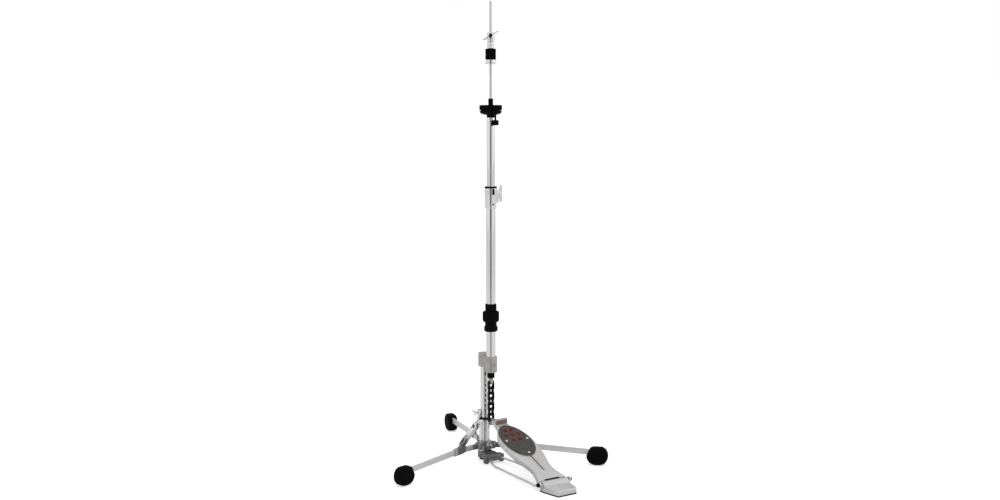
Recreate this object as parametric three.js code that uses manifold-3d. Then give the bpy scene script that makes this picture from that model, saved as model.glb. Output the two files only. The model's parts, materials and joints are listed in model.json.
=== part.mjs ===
// Hi-hat cymbal stand with a flat base, a chain-driven pedal and a folding tripod.
// Millimetres, +Z up. The origin is on the floor under the base column; the pedal points along -Y.
import * as THREE from "three";
import { mergeVertices } from "three/addons/utils/BufferGeometryUtils.js";
import Module from "manifold-3d";

const wasm = await Module();
wasm.setup();

// ---------------------------------------------------------------- driving dimensions

const CLEARANCE = 0.3; // gap between pieces that touch
const SLIDING_FIT = 0.45; // radial gap between pieces that slide or turn on each other
const SIDES = 20; // sides of a round tube
const FINE_SIDES = 12; // sides of a small round piece

// base column and main tube
const TUBE_SPACING = 28.7; // from the base column to the main tube
const MAIN_Y = -TUBE_SPACING;
const COLUMN_R = 9.55;
const COLUMN_WALL = 1.5;
const COLUMN_TOP = 251.7;
const LOWER_TUBE_R = 11.1;
const LOWER_TUBE_WALL = 1.1;
const LOWER_TUBE_TOP = 644;
const UPPER_TUBE_R = LOWER_TUBE_R - LOWER_TUBE_WALL - SLIDING_FIT;
const UPPER_TUBE_WALL = 1.25;
const SEAT_NECK_Z = LOWER_TUBE_TOP + 162; // where the upper tube ends and the cymbal seat starts

// base block
const BLOCK_FOOT = 6;
const BLOCK_TOP = 21;
const BLOCK_REAR_R = COLUMN_R + 6.45;
const BLOCK_HALF = 15;
const BOSS_R = 6.8;
const BOSS_HALF = 21; // from the centre line to each rod boss
const BOSS_Y = MAIN_Y - 12;

// casting that joins the two tubes, as heights of each lobe's foot and top
const LOBE_R = LOWER_TUBE_R + 3.4;
const REAR_LOBE_R = COLUMN_R + 4.95;
const FRONT_LOBE = [COLUMN_TOP - 35.9, COLUMN_TOP + 0.3];
const REAR_LOBE = [COLUMN_TOP - 26.7, COLUMN_TOP + 4.3];
const LOWER_TUBE_FOOT = FRONT_LOBE[0] + 3.2;
const SET_SCREW_Z = FRONT_LOBE[0] + 17.2;
const SET_SCREW_R = 2.7;
const GUIDE_R = 6.5; // of the hole that takes the guide bush's spigot
const BUSH_FOOT = FRONT_LOBE[0] - 14.1;

// pull rod, spring and chain
const ROD_R = 3;
const LOWER_ROD_R = 4;
const ADJUSTER_FOOT = LOWER_TUBE_FOOT + 93;
const SPRING_FOOT = ADJUSTER_FOOT + 19;
const SPRING_PLATE_Z = SPRING_FOOT + 64;
const ROD_JOINT_Z = SPRING_PLATE_Z + 14;
const COUPLING_TOP = ROD_JOINT_Z + 16;
const UPPER_TUBE_ROOM = 75; // lets the upper tube slide down before it meets the rod's coupling
const UPPER_TUBE_FOOT = COUPLING_TOP + UPPER_TUBE_ROOM;
const SPRING_WIRE_R = 1.1;
const SPRING_R = LOWER_TUBE_R - LOWER_TUBE_WALL - 2.8;
const SPRING_TURNS = 8;
const CHAIN_PITCH = 12.7;
const CHAIN_LINKS = 7;
const CHAIN_TOP = FRONT_LOBE[0] - 25.8;
const CLEVIS_TOP = CHAIN_TOP + 11;
const CHAIN_PIN_R = 1.8;
const CHAIN_PLATE_R = 4.9;
const CHAIN_ROLLER_R = 3.9;
const CHAIN_GAP = 3.9; // half of the space between the inner plates
const CHAIN_PLATE = 1.4;
const CHAIN_FOOT = CHAIN_TOP - CHAIN_LINKS * CHAIN_PITCH;
const TONGUE_HALF = CHAIN_GAP - 0.2;
const TONGUE_R = 4.6;

// tension adjuster
const RING_FOOT = ADJUSTER_FOOT + 22.6;
const RING_TOP = RING_FOOT + 24.4;
const RING_R = LOWER_TUBE_R + 8.2;
const RING_RIBS = 24;
const ADJUSTER_NECK_R = LOWER_TUBE_R + 2.5;
const ADJUSTER_TOP = RING_TOP + 18;

// height clamp, as height and radius of its foot and top
const CLAMP_Z = [LOWER_TUBE_TOP - 46, LOWER_TUBE_TOP + 1];
const CLAMP_R = [LOWER_TUBE_R + 1.8, LOWER_TUBE_R + 3.5];
const CLAMP_BUSH = 4;
const CLAMP_BOLT_Z = LOWER_TUBE_TOP - 12.5;
const CLAMP_BOLT_R = 3;
const CLAMP_BOLT_REACH = 17.5; // of the bolt, from the tube to the outer end of its hub

// cymbal seat
const SEAT_R = 25.75;
const CUP_TOP = SEAT_NECK_Z + 15.3;
const SEAT_TOP = CUP_TOP + 12.9;
const SLEEVE_R = 5.5;
const SLEEVE_TOP = SEAT_TOP + 14.8;
const FELT_BORE = 8;
const TILT_SCREW_OUT = 20; // from the main axis to the tilt screw
const TILT_SCREW_R = 2;
const TILT_KNOB_R = 8.2;
const TILT_KNOB = [SEAT_NECK_Z - 17, SEAT_NECK_Z - 5.5]; // heights of its foot and top

// clutch, upward
const CLUTCH_TUBE_R = 6;
const CLUTCH_FOOT = SEAT_TOP + 92.5;
const CLUTCH_NUT_TOP = CLUTCH_FOOT + 9.7;
const CLUTCH_NUT_R = 11;
const CLUTCH_FELT_R = 12;
const CLUTCH_FELT_TOP = CLUTCH_NUT_TOP + 24.4;
const LOCK_NUT_R = 7.6;
const LOCK_NUT_GROOVE = CLUTCH_FELT_TOP + 6.7; // between the two lock nuts
const CLUTCH_BODY_FOOT = CLUTCH_FELT_TOP + 13.5;
const CLUTCH_BODY_TOP = CLUTCH_BODY_FOOT + 23.7;
const CLUTCH_BODY_R = 8.5;
const WING_Z = CLUTCH_BODY_TOP - 8.3;
const WING_SCREW_R = 2.5;
const WING_SPAN = 39;
const WING_TILT = 31; // degrees that the wing leans
const CLUTCH_TURN = 57; // degrees that the clutch is turned on the rod; its screw points along its own -X
const ROD_TIP = CLUTCH_BODY_TOP + 70;

// pedal; the board's own axes start at the hinge, with y up the slope and z out of the deck
const PEDAL_REACH = 256; // from the hinge to the main tube
const HINGE_Y = MAIN_Y - PEDAL_REACH;
const HINGE_Z = 17.5;
const PIN_R = 3;
const TOE_PIN_DROP = 12.6; // from the hinge's level down to the lowest chain pin, in the board's own axes
const TOE_PIN_RISE = CHAIN_FOOT - HINGE_Z;
const TOE_PIN_FAR = Math.hypot(PEDAL_REACH, TOE_PIN_RISE);
const BOARD_SLOPE = Math.atan2(TOE_PIN_RISE, PEDAL_REACH) + Math.asin(TOE_PIN_DROP / TOE_PIN_FAR);
const TOE_PIN_Y = Math.sqrt(TOE_PIN_FAR ** 2 - TOE_PIN_DROP ** 2);
const BOARD_TOP = 2.5; // above the hinge axis
const TOE_STOP = [TOE_PIN_Y - 42, TOE_PIN_Y - 35]; // along the board
const BOARD_TOE = TOE_STOP[1] + 8;
const BOARD_HEEL = -7;
const DECK = 3.5;
const FLANGE = 11; // height of the board's side flange
const FLANGE_WALL = 3.2;
const HEEL_SLOT = 19.5; // half width of the gap in the board's heel edge
const HEEL_HALF = 33.4;
const HEEL_END_HALF = 24.2;
const HEEL_LENGTH = 49.6;
const MAT = 2.4;
const EYE_R = 6.4;
const ROD_EYE = 4;
const ROD_EYE_X = HEEL_HALF + 5.9;
const RADIUS_ROD_R = 2.3;
const OVAL_MIDDLE = 158;
const OVAL_HALF = [35.5, 59];
const PAD_R = 4.7;
const SHEET = 0.7;
const TRACTION_PLATE = 1.6;
const SCREW_R = 1.5;
const BRACKET_HALF = 12;
const TOE_STOP_HEIGHT = 11;
const TOE_STOP_HALF = 15;
const PIVOT_ROOM = 0.8; // room round the lowest chain pin, which shifts a little as the pedal moves

// Half widths of the board at distances from the hinge, joined by a smooth curve.
const BOARD_EDGE = [
  [36.6, BOARD_HEEL], [35.6, 8], [30, 26], [25.2, 47], [27.5, 66], [34, 90], [38.3, 113],
  [41, 140], [40.6, 164], [35.8, 182], [26.5, 199], [18.5, 213], [16, 230], [15.5, BOARD_TOE],
];
const SCREWS = [[-27.4, 160], [27, 157], [0.4, 107]]; // on the board
const PADS = [[-8, 197], [8, 197], [-17, 178.5], [0, 178.5], [17, 178.5], [-8.5, 159], [8.5, 159]];

// Each radius rod's way: to the side, out from the main tube, above the floor.
const ROD_RUN = [
  [15, 12, 13], [17, 20, 12], [28.5, 57.4, 8.5], [30.5, 147.5, 8],
  [ROD_EYE_X - 3.1, PEDAL_REACH - 20, 10.2],
];

// tripod; a leg's own axes are out from the column and up
const LEG_TURN = { left: -163.8, right: -43.8, rear: 76.2 }; // degrees round the column
const LEG_FOLD = 65; // degrees that a leg folds up
const HUB_Z = [BLOCK_TOP + 0.4, BLOCK_TOP + 23.7];
const HUB_R = COLUMN_R + 6.45;
const LEG_HINGE = [HUB_R + 6, HUB_Z[0] + 13.6];
const LEG_PIN_R = 2.5;
const LEG_EYE_R = 7;
const SLEEVE_TOP_Z = HUB_Z[1] + 30;
const COLUMN_SLEEVE_R = COLUMN_R + 3.15;
const COLLAR_Z = [SLEEVE_TOP_Z + CLEARANCE, SLEEVE_TOP_Z + 22.8];
const COLLAR_R = COLUMN_R + 4.95;
const COLLAR_RING_TOP = COLLAR_Z[1] + 3.5;
const BOLT_BOSS_TURN = 168; // degrees round the column to the collar's bolt
const BOLT_BOSS_Z = COLLAR_RING_TOP + 13.5;
const BOLT_BOSS_HALF = 5.5;
const COLLAR_BOLT_R = 2.5;
const STRUT_TOP = [COLLAR_R + 15.5, COLLAR_Z[0] + 13];
const LINK_HALF = 4;
const LINK_HEIGHT = 11;
const SOCKET = [LEG_HINGE[0] + 52, LEG_HINGE[0] + 84]; // where a leg bar's socket starts and ends
const SOCKET_Z = LEG_HINGE[1] + 3.6;
const BAR_HALF = 2.3;
const BAR_HEIGHT = 13.5;
const SOCKET_HEIGHT = BAR_HEIGHT + 3.5;
const BAR_START = SOCKET[0] + 14;
const BAR_END = SOCKET[0] + 182;
const BAR_END_Z = 29.4;
const STRUT_FOOT = [SOCKET[0] + 3, SOCKET_Z + 13.4];
const STRUT_R = 4.6;
const STRUT_PIN_R = 2;
const STRUT_WALL = 2.2;
const STRUT_ROOM = 23; // from a strut's lower pin to its web, which lets the lug pass as the legs fold
const LUG_HALF = 3.9; // half width of the lugs that the struts straddle
const FOOT_IN = BAR_END - 13;
const FOOT_LENGTH = 51;
const FOOT_HEIGHT = 42.5;
const FOOT_HALF = 12.3;
const FOOT_EDGE = 6;

// ---------------------------------------------------------------- finishes

const finish = (color, roughness, metalness) =>
  new THREE.MeshStandardMaterial({ color, roughness, metalness });
const CHROME = finish(0xd4d6d8, 0.12, 1);
const STEEL = finish(0xc4c5c6, 0.3, 1);
const SATIN_STEEL = finish(0xb9b9b9, 0.45, 0.9);
const CAST_METAL = finish(0xa7a6a3, 0.55, 0.7);
const DARK_CAST = finish(0x4a4a4b, 0.5, 0.7);
const BLACK_STEEL = finish(0x17171a, 0.4, 0.7);
const BLACK_PLASTIC = finish(0x141414, 0.45, 0);
const BLACK_RUBBER = finish(0x0e0e0e, 0.8, 0);
const BLACK_FELT = finish(0x111111, 1, 0);
const SILVER_PAINT = finish(0xb5b6b6, 0.4, 0.6);
const TRACTION = finish(0x5d615c, 0.6, 0.3);
const RED_RUBBER = finish(0x8c1c20, 0.6, 0);

// ---------------------------------------------------------------- tools for shapes

const rad = THREE.MathUtils.degToRad;

// A closed solid from a geometry, with its faces turned outward.
function toSolid(geometry) {
  const bare = geometry.index ? geometry.toNonIndexed() : geometry.clone();
  bare.deleteAttribute("normal");
  bare.deleteAttribute("uv");
  const merged = mergeVertices(bare, 1e-4);
  const vertProperties = merged.attributes.position.array;
  const triVerts = new Uint32Array(merged.index.array);
  const made = new wasm.Manifold(new wasm.Mesh({ numProp: 3, vertProperties, triVerts }));
  if (made.volume() > 0) return made;
  return new wasm.Manifold(
    new wasm.Mesh({ numProp: 3, vertProperties, triVerts: triVerts.reverse() }),
  );
}

function toGeometry(solid) {
  const { vertProperties, triVerts } = solid.getMesh();
  const geometry = new THREE.BufferGeometry();
  geometry.setAttribute("position", new THREE.BufferAttribute(vertProperties, 3));
  geometry.setIndex(new THREE.BufferAttribute(triVerts, 1));
  geometry.computeVertexNormals();
  return geometry;
}

const join = (solids) => solids.reduce((whole, next) => whole.add(next));
const cut = (solid, tools) => tools.reduce((whole, next) => whole.subtract(next), solid);

// Turned solid about an upright axis at (x, y): profile holds [radius, height] points.
function turned(profile, x = 0, y = 0, sides = SIDES) {
  const points = profile.map(([r, z]) => new THREE.Vector2(r, z));
  const geometry = new THREE.LatheGeometry(points, sides);
  return toSolid(geometry.rotateX(Math.PI / 2).translate(x, y, 0));
}

// Pipe from z0 to z1, or a plain bar where inner is 0.
function pipe(outer, inner, z0, z1, x = 0, y = 0, sides = SIDES) {
  const shell = [[inner, z0], [outer, z0], [outer, z1], [inner, z1]];
  return turned(inner > 0 ? [...shell, shell[0]] : shell, x, y, sides);
}

// Round bar along a direction given in degrees from +X in the floor plane.
function bar(radius, start, length, turn, sides = FINE_SIDES) {
  const geometry = new THREE.CylinderGeometry(radius, radius, length, sides);
  geometry.rotateZ(-Math.PI / 2).translate(length / 2, 0, 0).rotateZ(rad(turn));
  return toSolid(geometry.translate(...start));
}

function box([x0, x1], [y0, y1], [z0, z1]) {
  const geometry = new THREE.BoxGeometry(x1 - x0, y1 - y0, z1 - z0);
  return toSolid(geometry.translate((x0 + x1) / 2, (y0 + y1) / 2, (z0 + z1) / 2));
}

const shapeOf = (points) => new THREE.Shape(points.map(([a, b]) => new THREE.Vector2(a, b)));

// Outline in the XY plane, raised from z0 to z1.
function raised(points, z0, z1) {
  const geometry = new THREE.ExtrudeGeometry(shapeOf(points), { depth: z1 - z0, bevelEnabled: false });
  return toSolid(geometry.translate(0, 0, z0));
}

// Outline in the YZ plane, drawn out along X by half on each side of the middle.
function acrossX(points, half, middle = 0) {
  const geometry = new THREE.ExtrudeGeometry(shapeOf(points), { depth: 2 * half, bevelEnabled: false });
  geometry.applyMatrix4(
    new THREE.Matrix4().makeBasis(
      new THREE.Vector3(0, 1, 0), new THREE.Vector3(0, 0, 1), new THREE.Vector3(1, 0, 0),
    ),
  );
  return toSolid(geometry.translate(middle - half, 0, 0));
}

// Outline in the XZ plane, drawn out along Y by half on each side of the middle, with an optional bevel.
function acrossY(points, half, middle = 0, bevel = 0, bevelSegments = 1) {
  const geometry = new THREE.ExtrudeGeometry(shapeOf(points), {
    depth: 2 * (half - bevel),
    bevelEnabled: bevel > 0,
    bevelThickness: bevel,
    bevelSize: bevel,
    bevelOffset: -bevel,
    bevelSegments,
  });
  geometry.translate(0, 0, bevel - half).rotateX(Math.PI / 2);
  return toSolid(geometry.translate(0, middle, 0));
}

// Round disc whose axis lies along X or along Y.
const discX = (r, x0, x1, y, z, sides = FINE_SIDES) =>
  toSolid(
    new THREE.CylinderGeometry(r, r, x1 - x0, sides).rotateZ(Math.PI / 2).translate((x0 + x1) / 2, y, z),
  );
const discY = (r, y0, y1, x, z, sides = FINE_SIDES) =>
  toSolid(new THREE.CylinderGeometry(r, r, y1 - y0, sides).translate(x, (y0 + y1) / 2, z));

// Strip of the given width between two points of a plane, with round ends.
function stadium([ax, ay], [bx, by], radius, steps = 5) {
  const turn = Math.atan2(by - ay, bx - ax);
  const end = (x, y, from) =>
    Array.from({ length: steps + 1 }, (_, i) => {
      const angle = turn + from + (Math.PI * i) / steps;
      return [x + radius * Math.cos(angle), y + radius * Math.sin(angle)];
    });
  return [...end(bx, by, -Math.PI / 2), ...end(ax, ay, Math.PI / 2)];
}

// Round wire along a smooth curve through the points.
function wire(points, radius, steps, sides = 8) {
  const stops = points.map((p) => new THREE.Vector3(...p));
  const path = new THREE.CatmullRomCurve3(stops, false, "centripetal");
  const section = Array.from({ length: sides }, (_, i) => {
    const angle = (2 * Math.PI * i) / sides;
    return [radius * Math.cos(angle), radius * Math.sin(angle)];
  });
  const settings = { steps, extrudePath: path, bevelEnabled: false };
  return toSolid(new THREE.ExtrudeGeometry(shapeOf(section), settings));
}

const stand = new THREE.Group();
function place(name, solid, material, group = stand) {
  const mesh = new THREE.Mesh(toGeometry(solid), material);
  mesh.name = name;
  group.add(mesh);
}

// ---------------------------------------------------------------- base

function baseOutline(inset, z0, z1) {
  const rear = pipe(BLOCK_REAR_R - inset, 0, z0, z1);
  const half = BLOCK_HALF - inset;
  const beam = box([-half, half], [BOSS_Y + inset, 0], [z0, z1]);
  const arms = box([-BOSS_HALF, BOSS_HALF], [BOSS_Y - 5 + inset, BOSS_Y + 6 - inset], [z0, z1]);
  return join([rear, beam, arms]);
}

// Bent wire from the base block to an eye on the pedal's hinge pin; side is -1 or 1.
function radiusRod(side, grow = 0) {
  const points = ROD_RUN.map(([x, out, z]) => [side * x, MAIN_Y - out, z]);
  points.push([side * ROD_EYE_X, HINGE_Y + EYE_R - 1.2, HINGE_Z - 1.5]);
  return wire(points, RADIUS_ROD_R + grow, 18, 6);
}

function baseBlock() {
  const layers = 3;
  const step = (BLOCK_TOP - 4 - BLOCK_FOOT) / layers;
  const slabs = [baseOutline(0, BLOCK_TOP - 4, BLOCK_TOP)];
  for (let i = 0; i < layers; i += 1) {
    const z = BLOCK_FOOT + i * step;
    slabs.push(baseOutline(i % 2 ? 1.2 : 0, z, z + step + 0.01));
  }
  for (const side of [-1, 1]) {
    const boss = [[0, 1.5], [BOSS_R - 2, 1.5], [BOSS_R, 4], [BOSS_R, BLOCK_TOP - 3], [0, BLOCK_TOP - 3]];
    slabs.push(turned(boss, side * BOSS_HALF, BOSS_Y, FINE_SIDES));
  }
  const bore = pipe(COLUMN_R + CLEARANCE, 0, 0, BLOCK_TOP + 1);
  return cut(join(slabs), [bore, radiusRod(-1, CLEARANCE), radiusRod(1, CLEARANCE)]);
}

place("base_block", baseBlock(), DARK_CAST);

const columnBore = COLUMN_R - COLUMN_WALL;
const columnFoot = 4;
place("base_column", pipe(COLUMN_R, columnBore, columnFoot, COLUMN_TOP), CHROME);
place(
  "column_foot",
  turned([
    [0, 0], [COLUMN_R + 1.5, 0], [COLUMN_R + 2, 1], [COLUMN_R + 2, columnFoot - CLEARANCE],
    [columnBore - CLEARANCE, columnFoot - CLEARANCE], [columnBore - CLEARANCE, 14], [0, 14],
  ]),
  BLACK_RUBBER,
);

// ---------------------------------------------------------------- joining casting and main tube

function tubeClamp() {
  const half = COLUMN_R + 0.5;
  const body = join([
    pipe(LOBE_R, 0, ...FRONT_LOBE, 0, MAIN_Y),
    pipe(REAR_LOBE_R, 0, ...REAR_LOBE),
    box([-half, half], [MAIN_Y, 0], [REAR_LOBE[0], FRONT_LOBE[1]]),
  ]);
  const slot = [MAIN_Y + LOWER_TUBE_R, MAIN_Y + LOWER_TUBE_R + 3.5];
  return cut(body, [
    pipe(COLUMN_R + CLEARANCE, 0, REAR_LOBE[0] - 1, COLUMN_TOP + CLEARANCE),
    pipe(LOWER_TUBE_R + CLEARANCE, 0, LOWER_TUBE_FOOT - CLEARANCE, REAR_LOBE[1] + 1, 0, MAIN_Y),
    pipe(GUIDE_R, 0, FRONT_LOBE[0] - 1, LOWER_TUBE_FOOT, 0, MAIN_Y, FINE_SIDES),
    discY(SET_SCREW_R, MAIN_Y - LOBE_R - 1, MAIN_Y - LOBE_R + 2, 0, SET_SCREW_Z),
    box([-0.6, 0.6], slot, [REAR_LOBE[0], FRONT_LOBE[1] + 1]),
  ]);
}

place("tube_clamp", tubeClamp(), CAST_METAL);

const lowerBore = LOWER_TUBE_R - LOWER_TUBE_WALL;
place("lower_tube", pipe(LOWER_TUBE_R, lowerBore, LOWER_TUBE_FOOT, LOWER_TUBE_TOP, 0, MAIN_Y), CHROME);

const bushTop = FRONT_LOBE[0] - CLEARANCE;
const bushBore = LOWER_ROD_R + SLIDING_FIT;
const spigotR = GUIDE_R - CLEARANCE;
place(
  "guide_bush",
  turned(
    [
      [bushBore, BUSH_FOOT], [8, BUSH_FOOT], [8.7, BUSH_FOOT + 1], [8.7, bushTop], [spigotR, bushTop],
      [spigotR, LOWER_TUBE_FOOT - 1], [bushBore, LOWER_TUBE_FOOT - 1], [bushBore, BUSH_FOOT],
    ],
    0, MAIN_Y,
  ),
  BLACK_PLASTIC,
);

// ---------------------------------------------------------------- tension adjuster

const adjusterBore = LOWER_TUBE_R + CLEARANCE;
const ringGap = RING_FOOT - CLEARANCE;
const skirtR = ADJUSTER_NECK_R + 2.4;
place(
  "adjuster_collar",
  turned(
    [
      [adjusterBore, ADJUSTER_FOOT], [skirtR - 1.5, ADJUSTER_FOOT], [skirtR, ADJUSTER_FOOT + 2.5],
      [skirtR, ADJUSTER_FOOT + 10], [ADJUSTER_NECK_R, ADJUSTER_FOOT + 14], [ADJUSTER_NECK_R, ringGap],
      [adjusterBore, ringGap], [adjusterBore, ADJUSTER_FOOT],
    ],
    0, MAIN_Y,
  ),
  BLACK_PLASTIC,
);
const adjusterSleeveR = LOWER_TUBE_R + 2.1;
const adjusterSleeveFoot = RING_TOP + CLEARANCE;
place(
  "adjuster_sleeve",
  turned(
    [
      [adjusterBore, adjusterSleeveFoot], [adjusterSleeveR, adjusterSleeveFoot],
      [adjusterSleeveR, ADJUSTER_TOP - 1], [adjusterSleeveR - 0.8, ADJUSTER_TOP],
      [adjusterBore, ADJUSTER_TOP], [adjusterBore, adjusterSleeveFoot],
    ],
    0, MAIN_Y,
  ),
  BLACK_PLASTIC,
);

function tensionRing() {
  const rim = Array.from({ length: RING_RIBS * 2 }, (_, i) => {
    const angle = (Math.PI * (i + 0.5)) / RING_RIBS;
    const radius = RING_R - (Math.floor(i / 2) % 2 ? 0 : 1.2);
    return [radius * Math.cos(angle), radius * Math.sin(angle)];
  });
  const body = raised(rim, RING_FOOT, RING_TOP).translate([0, MAIN_Y, 0]);
  return body.subtract(pipe(LOWER_TUBE_R + SLIDING_FIT, 0, RING_FOOT - 1, RING_TOP + 1, 0, MAIN_Y));
}

place("tension_ring", tensionRing(), BLACK_PLASTIC);

const springSeatR = lowerBore - SLIDING_FIT;
place(
  "spring_seat",
  pipe(springSeatR, LOWER_ROD_R + SLIDING_FIT, SPRING_FOOT - 5, SPRING_FOOT - CLEARANCE, 0, MAIN_Y),
  STEEL,
);

// ---------------------------------------------------------------- height clamp

function heightClamp() {
  const [foot, top] = CLAMP_Z;
  const [footR, topR] = CLAMP_R;
  const body = turned([[0, foot], [footR, foot], [topR, top - 6], [topR, top], [0, top]], 0, MAIN_Y);
  const lug = box([4, topR + 2.5], [MAIN_Y - 8, MAIN_Y + 8], [CLAMP_BOLT_Z - 20, CLAMP_BOLT_Z + 10]);
  return cut(join([body, lug]), [
    pipe(LOWER_TUBE_R + CLEARANCE, 0, foot - 1, top + 1, 0, MAIN_Y),
    box([LOWER_TUBE_R - 1, topR + 4], [MAIN_Y - 1, MAIN_Y + 1], [foot - 1, top + 1]),
    bar(CLAMP_BOLT_R + CLEARANCE, [LOWER_TUBE_R - 2, MAIN_Y, CLAMP_BOLT_Z], 14, 0),
  ]);
}

place("height_clamp", heightClamp(), CHROME);

// T-shaped wing on a shank, drawn along +X from the origin.
function wingBolt({ shankR, shank, hubR, reach, span, thick }) {
  const hub = discX(hubR, shank, reach, 0, 0);
  const wing = [
    [-span / 2, -1], [-span / 4, -3], [0, -hubR], [span / 4, -3], [span / 2, -1],
    [span / 2, 3.5], [span / 4, 4], [0, hubR], [-span / 4, 4], [-span / 2, 3.5],
  ];
  const middle = (shank + reach) / 2 + 1;
  const plate = wing.map(([along, out]) => [middle + out, along]);
  return join([discX(shankR, 0, shank + 1, 0, 0), hub, acrossY(plate, thick / 2)]);
}

const clampBolt = wingBolt({
  shankR: CLAMP_BOLT_R, shank: 9, hubR: 4.5, reach: CLAMP_BOLT_REACH, span: 40, thick: 4,
});
place("height_wing_bolt", clampBolt.translate([LOWER_TUBE_R + 1, MAIN_Y, CLAMP_BOLT_Z]), CHROME);

const clampBushBore = UPPER_TUBE_R + SLIDING_FIT;
const clampBushR = CLAMP_R[1] - 0.3;
const clampBushFoot = CLAMP_Z[1] + CLEARANCE;
const clampBushTop = CLAMP_Z[1] + CLAMP_BUSH;
place(
  "clamp_bush",
  turned(
    [
      [clampBushBore, clampBushFoot], [clampBushR, clampBushFoot], [clampBushR, clampBushTop - 1],
      [clampBushR - 1, clampBushTop], [clampBushBore, clampBushTop], [clampBushBore, clampBushFoot],
    ],
    0, MAIN_Y,
  ),
  BLACK_PLASTIC,
);

// ---------------------------------------------------------------- upper stage and cymbal seat

const upperBore = UPPER_TUBE_R - UPPER_TUBE_WALL;
place("upper_tube", pipe(UPPER_TUBE_R, upperBore, UPPER_TUBE_FOOT, SEAT_NECK_Z, 0, MAIN_Y), CHROME);

function seatCup() {
  const neckZ = SEAT_NECK_Z + CLEARANCE;
  const spigotFoot = neckZ - 14;
  const spigotEdge = upperBore - CLEARANCE;
  const bore = SLEEVE_R + CLEARANCE;
  const neckR = UPPER_TUBE_R - 0.4;
  const bowlFoot = CUP_TOP - 8.4;
  const bowl = [
    [SEAT_R - 9.7, bowlFoot], [SEAT_R - 4.7, bowlFoot + 1.3], [SEAT_R - 1.4, CUP_TOP - 4.3],
    [SEAT_R, CUP_TOP],
  ];
  const neck = [[neckR, neckZ], [neckR, bowlFoot - 1.4]];
  const profile = [
    [bore, spigotFoot], [spigotEdge, spigotFoot], [spigotEdge, neckZ], ...neck, ...bowl, [bore, CUP_TOP],
  ];
  const holeR = TILT_SCREW_R + CLEARANCE;
  const screwHole = pipe(holeR, 0, neckZ, CUP_TOP + 1, 0, MAIN_Y - TILT_SCREW_OUT, FINE_SIDES);
  return turned([...profile, profile[0]], 0, MAIN_Y).subtract(screwHole);
}

place("seat_cup", seatCup(), BLACK_PLASTIC);
const sleeveFoot = SEAT_NECK_Z - 8;
const sleeveBore = ROD_R + 0.8;
place(
  "seat_sleeve",
  turned(
    [
      [sleeveBore, sleeveFoot], [SLEEVE_R, sleeveFoot], [SLEEVE_R, SLEEVE_TOP - 1],
      [SLEEVE_R - 0.8, SLEEVE_TOP], [sleeveBore, SLEEVE_TOP], [sleeveBore, sleeveFoot],
    ],
    0, MAIN_Y, FINE_SIDES,
  ),
  BLACK_PLASTIC,
);
const washerFoot = CUP_TOP + CLEARANCE;
const feltFoot = washerFoot + 1 + CLEARANCE;
place("seat_washer", pipe(SEAT_R - 3, FELT_BORE, washerFoot, washerFoot + 1, 0, MAIN_Y), BLACK_STEEL);
place(
  "seat_felt",
  turned(
    [
      [FELT_BORE, feltFoot], [SEAT_R - 0.5, feltFoot], [SEAT_R, feltFoot + 1], [SEAT_R, SEAT_TOP - 1],
      [SEAT_R - 1, SEAT_TOP], [FELT_BORE, SEAT_TOP], [FELT_BORE, feltFoot],
    ],
    0, MAIN_Y,
  ),
  BLACK_FELT,
);

function tiltScrew() {
  const lobes = 6;
  const rim = Array.from({ length: lobes * 4 }, (_, i) => {
    const angle = (2 * Math.PI * i) / (lobes * 4);
    const radius = TILT_KNOB_R - 0.9 + 0.9 * Math.cos(lobes * angle);
    return [radius * Math.cos(angle), radius * Math.sin(angle)];
  });
  const knob = raised(rim, ...TILT_KNOB);
  const shank = pipe(TILT_SCREW_R, 0, TILT_KNOB[1] - 1, CUP_TOP, 0, 0, FINE_SIDES);
  return join([knob, shank]).translate([0, MAIN_Y - TILT_SCREW_OUT, 0]);
}

place("tilt_screw", tiltScrew(), BLACK_PLASTIC);

// ---------------------------------------------------------------- pull rod

place(
  "upper_rod",
  turned(
    [
      [0, ROD_JOINT_Z + 3], [ROD_R, ROD_JOINT_Z + 3], [ROD_R, ROD_TIP - 2], [ROD_R - 1, ROD_TIP - 0.4],
      [0, ROD_TIP],
    ],
    0, MAIN_Y, FINE_SIDES,
  ),
  STEEL,
);
const jointBore = LOWER_ROD_R + CLEARANCE;
const tipBore = ROD_R + CLEARANCE;
place(
  "rod_coupling",
  turned(
    [
      [jointBore, SPRING_PLATE_Z], [SPRING_R + 1.8, SPRING_PLATE_Z], [SPRING_R + 1.8, SPRING_PLATE_Z + 3],
      [6, SPRING_PLATE_Z + 3], [6, COUPLING_TOP], [tipBore, COUPLING_TOP], [tipBore, ROD_JOINT_Z + 1],
      [jointBore, ROD_JOINT_Z + 1], [jointBore, SPRING_PLATE_Z],
    ],
    0, MAIN_Y,
  ),
  STEEL,
);
const lowerRod = pipe(LOWER_ROD_R, 0, CLEVIS_TOP + CLEARANCE, ROD_JOINT_Z, 0, MAIN_Y, FINE_SIDES);
place("lower_rod", lowerRod, STEEL);

function returnSpring() {
  const foot = SPRING_FOOT + SPRING_WIRE_R;
  const rise = SPRING_PLATE_Z - SPRING_FOOT - 2 * SPRING_WIRE_R - 2 * CLEARANCE;
  const perTurn = 8;
  const points = Array.from({ length: SPRING_TURNS * perTurn + 1 }, (_, i) => {
    const angle = (2 * Math.PI * i) / perTurn;
    const z = foot + CLEARANCE + (rise * i) / (SPRING_TURNS * perTurn);
    return [SPRING_R * Math.cos(angle), MAIN_Y + SPRING_R * Math.sin(angle), z];
  });
  return wire(points, SPRING_WIRE_R, SPRING_TURNS * perTurn, 5);
}

place("return_spring", returnSpring(), STEEL);

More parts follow.
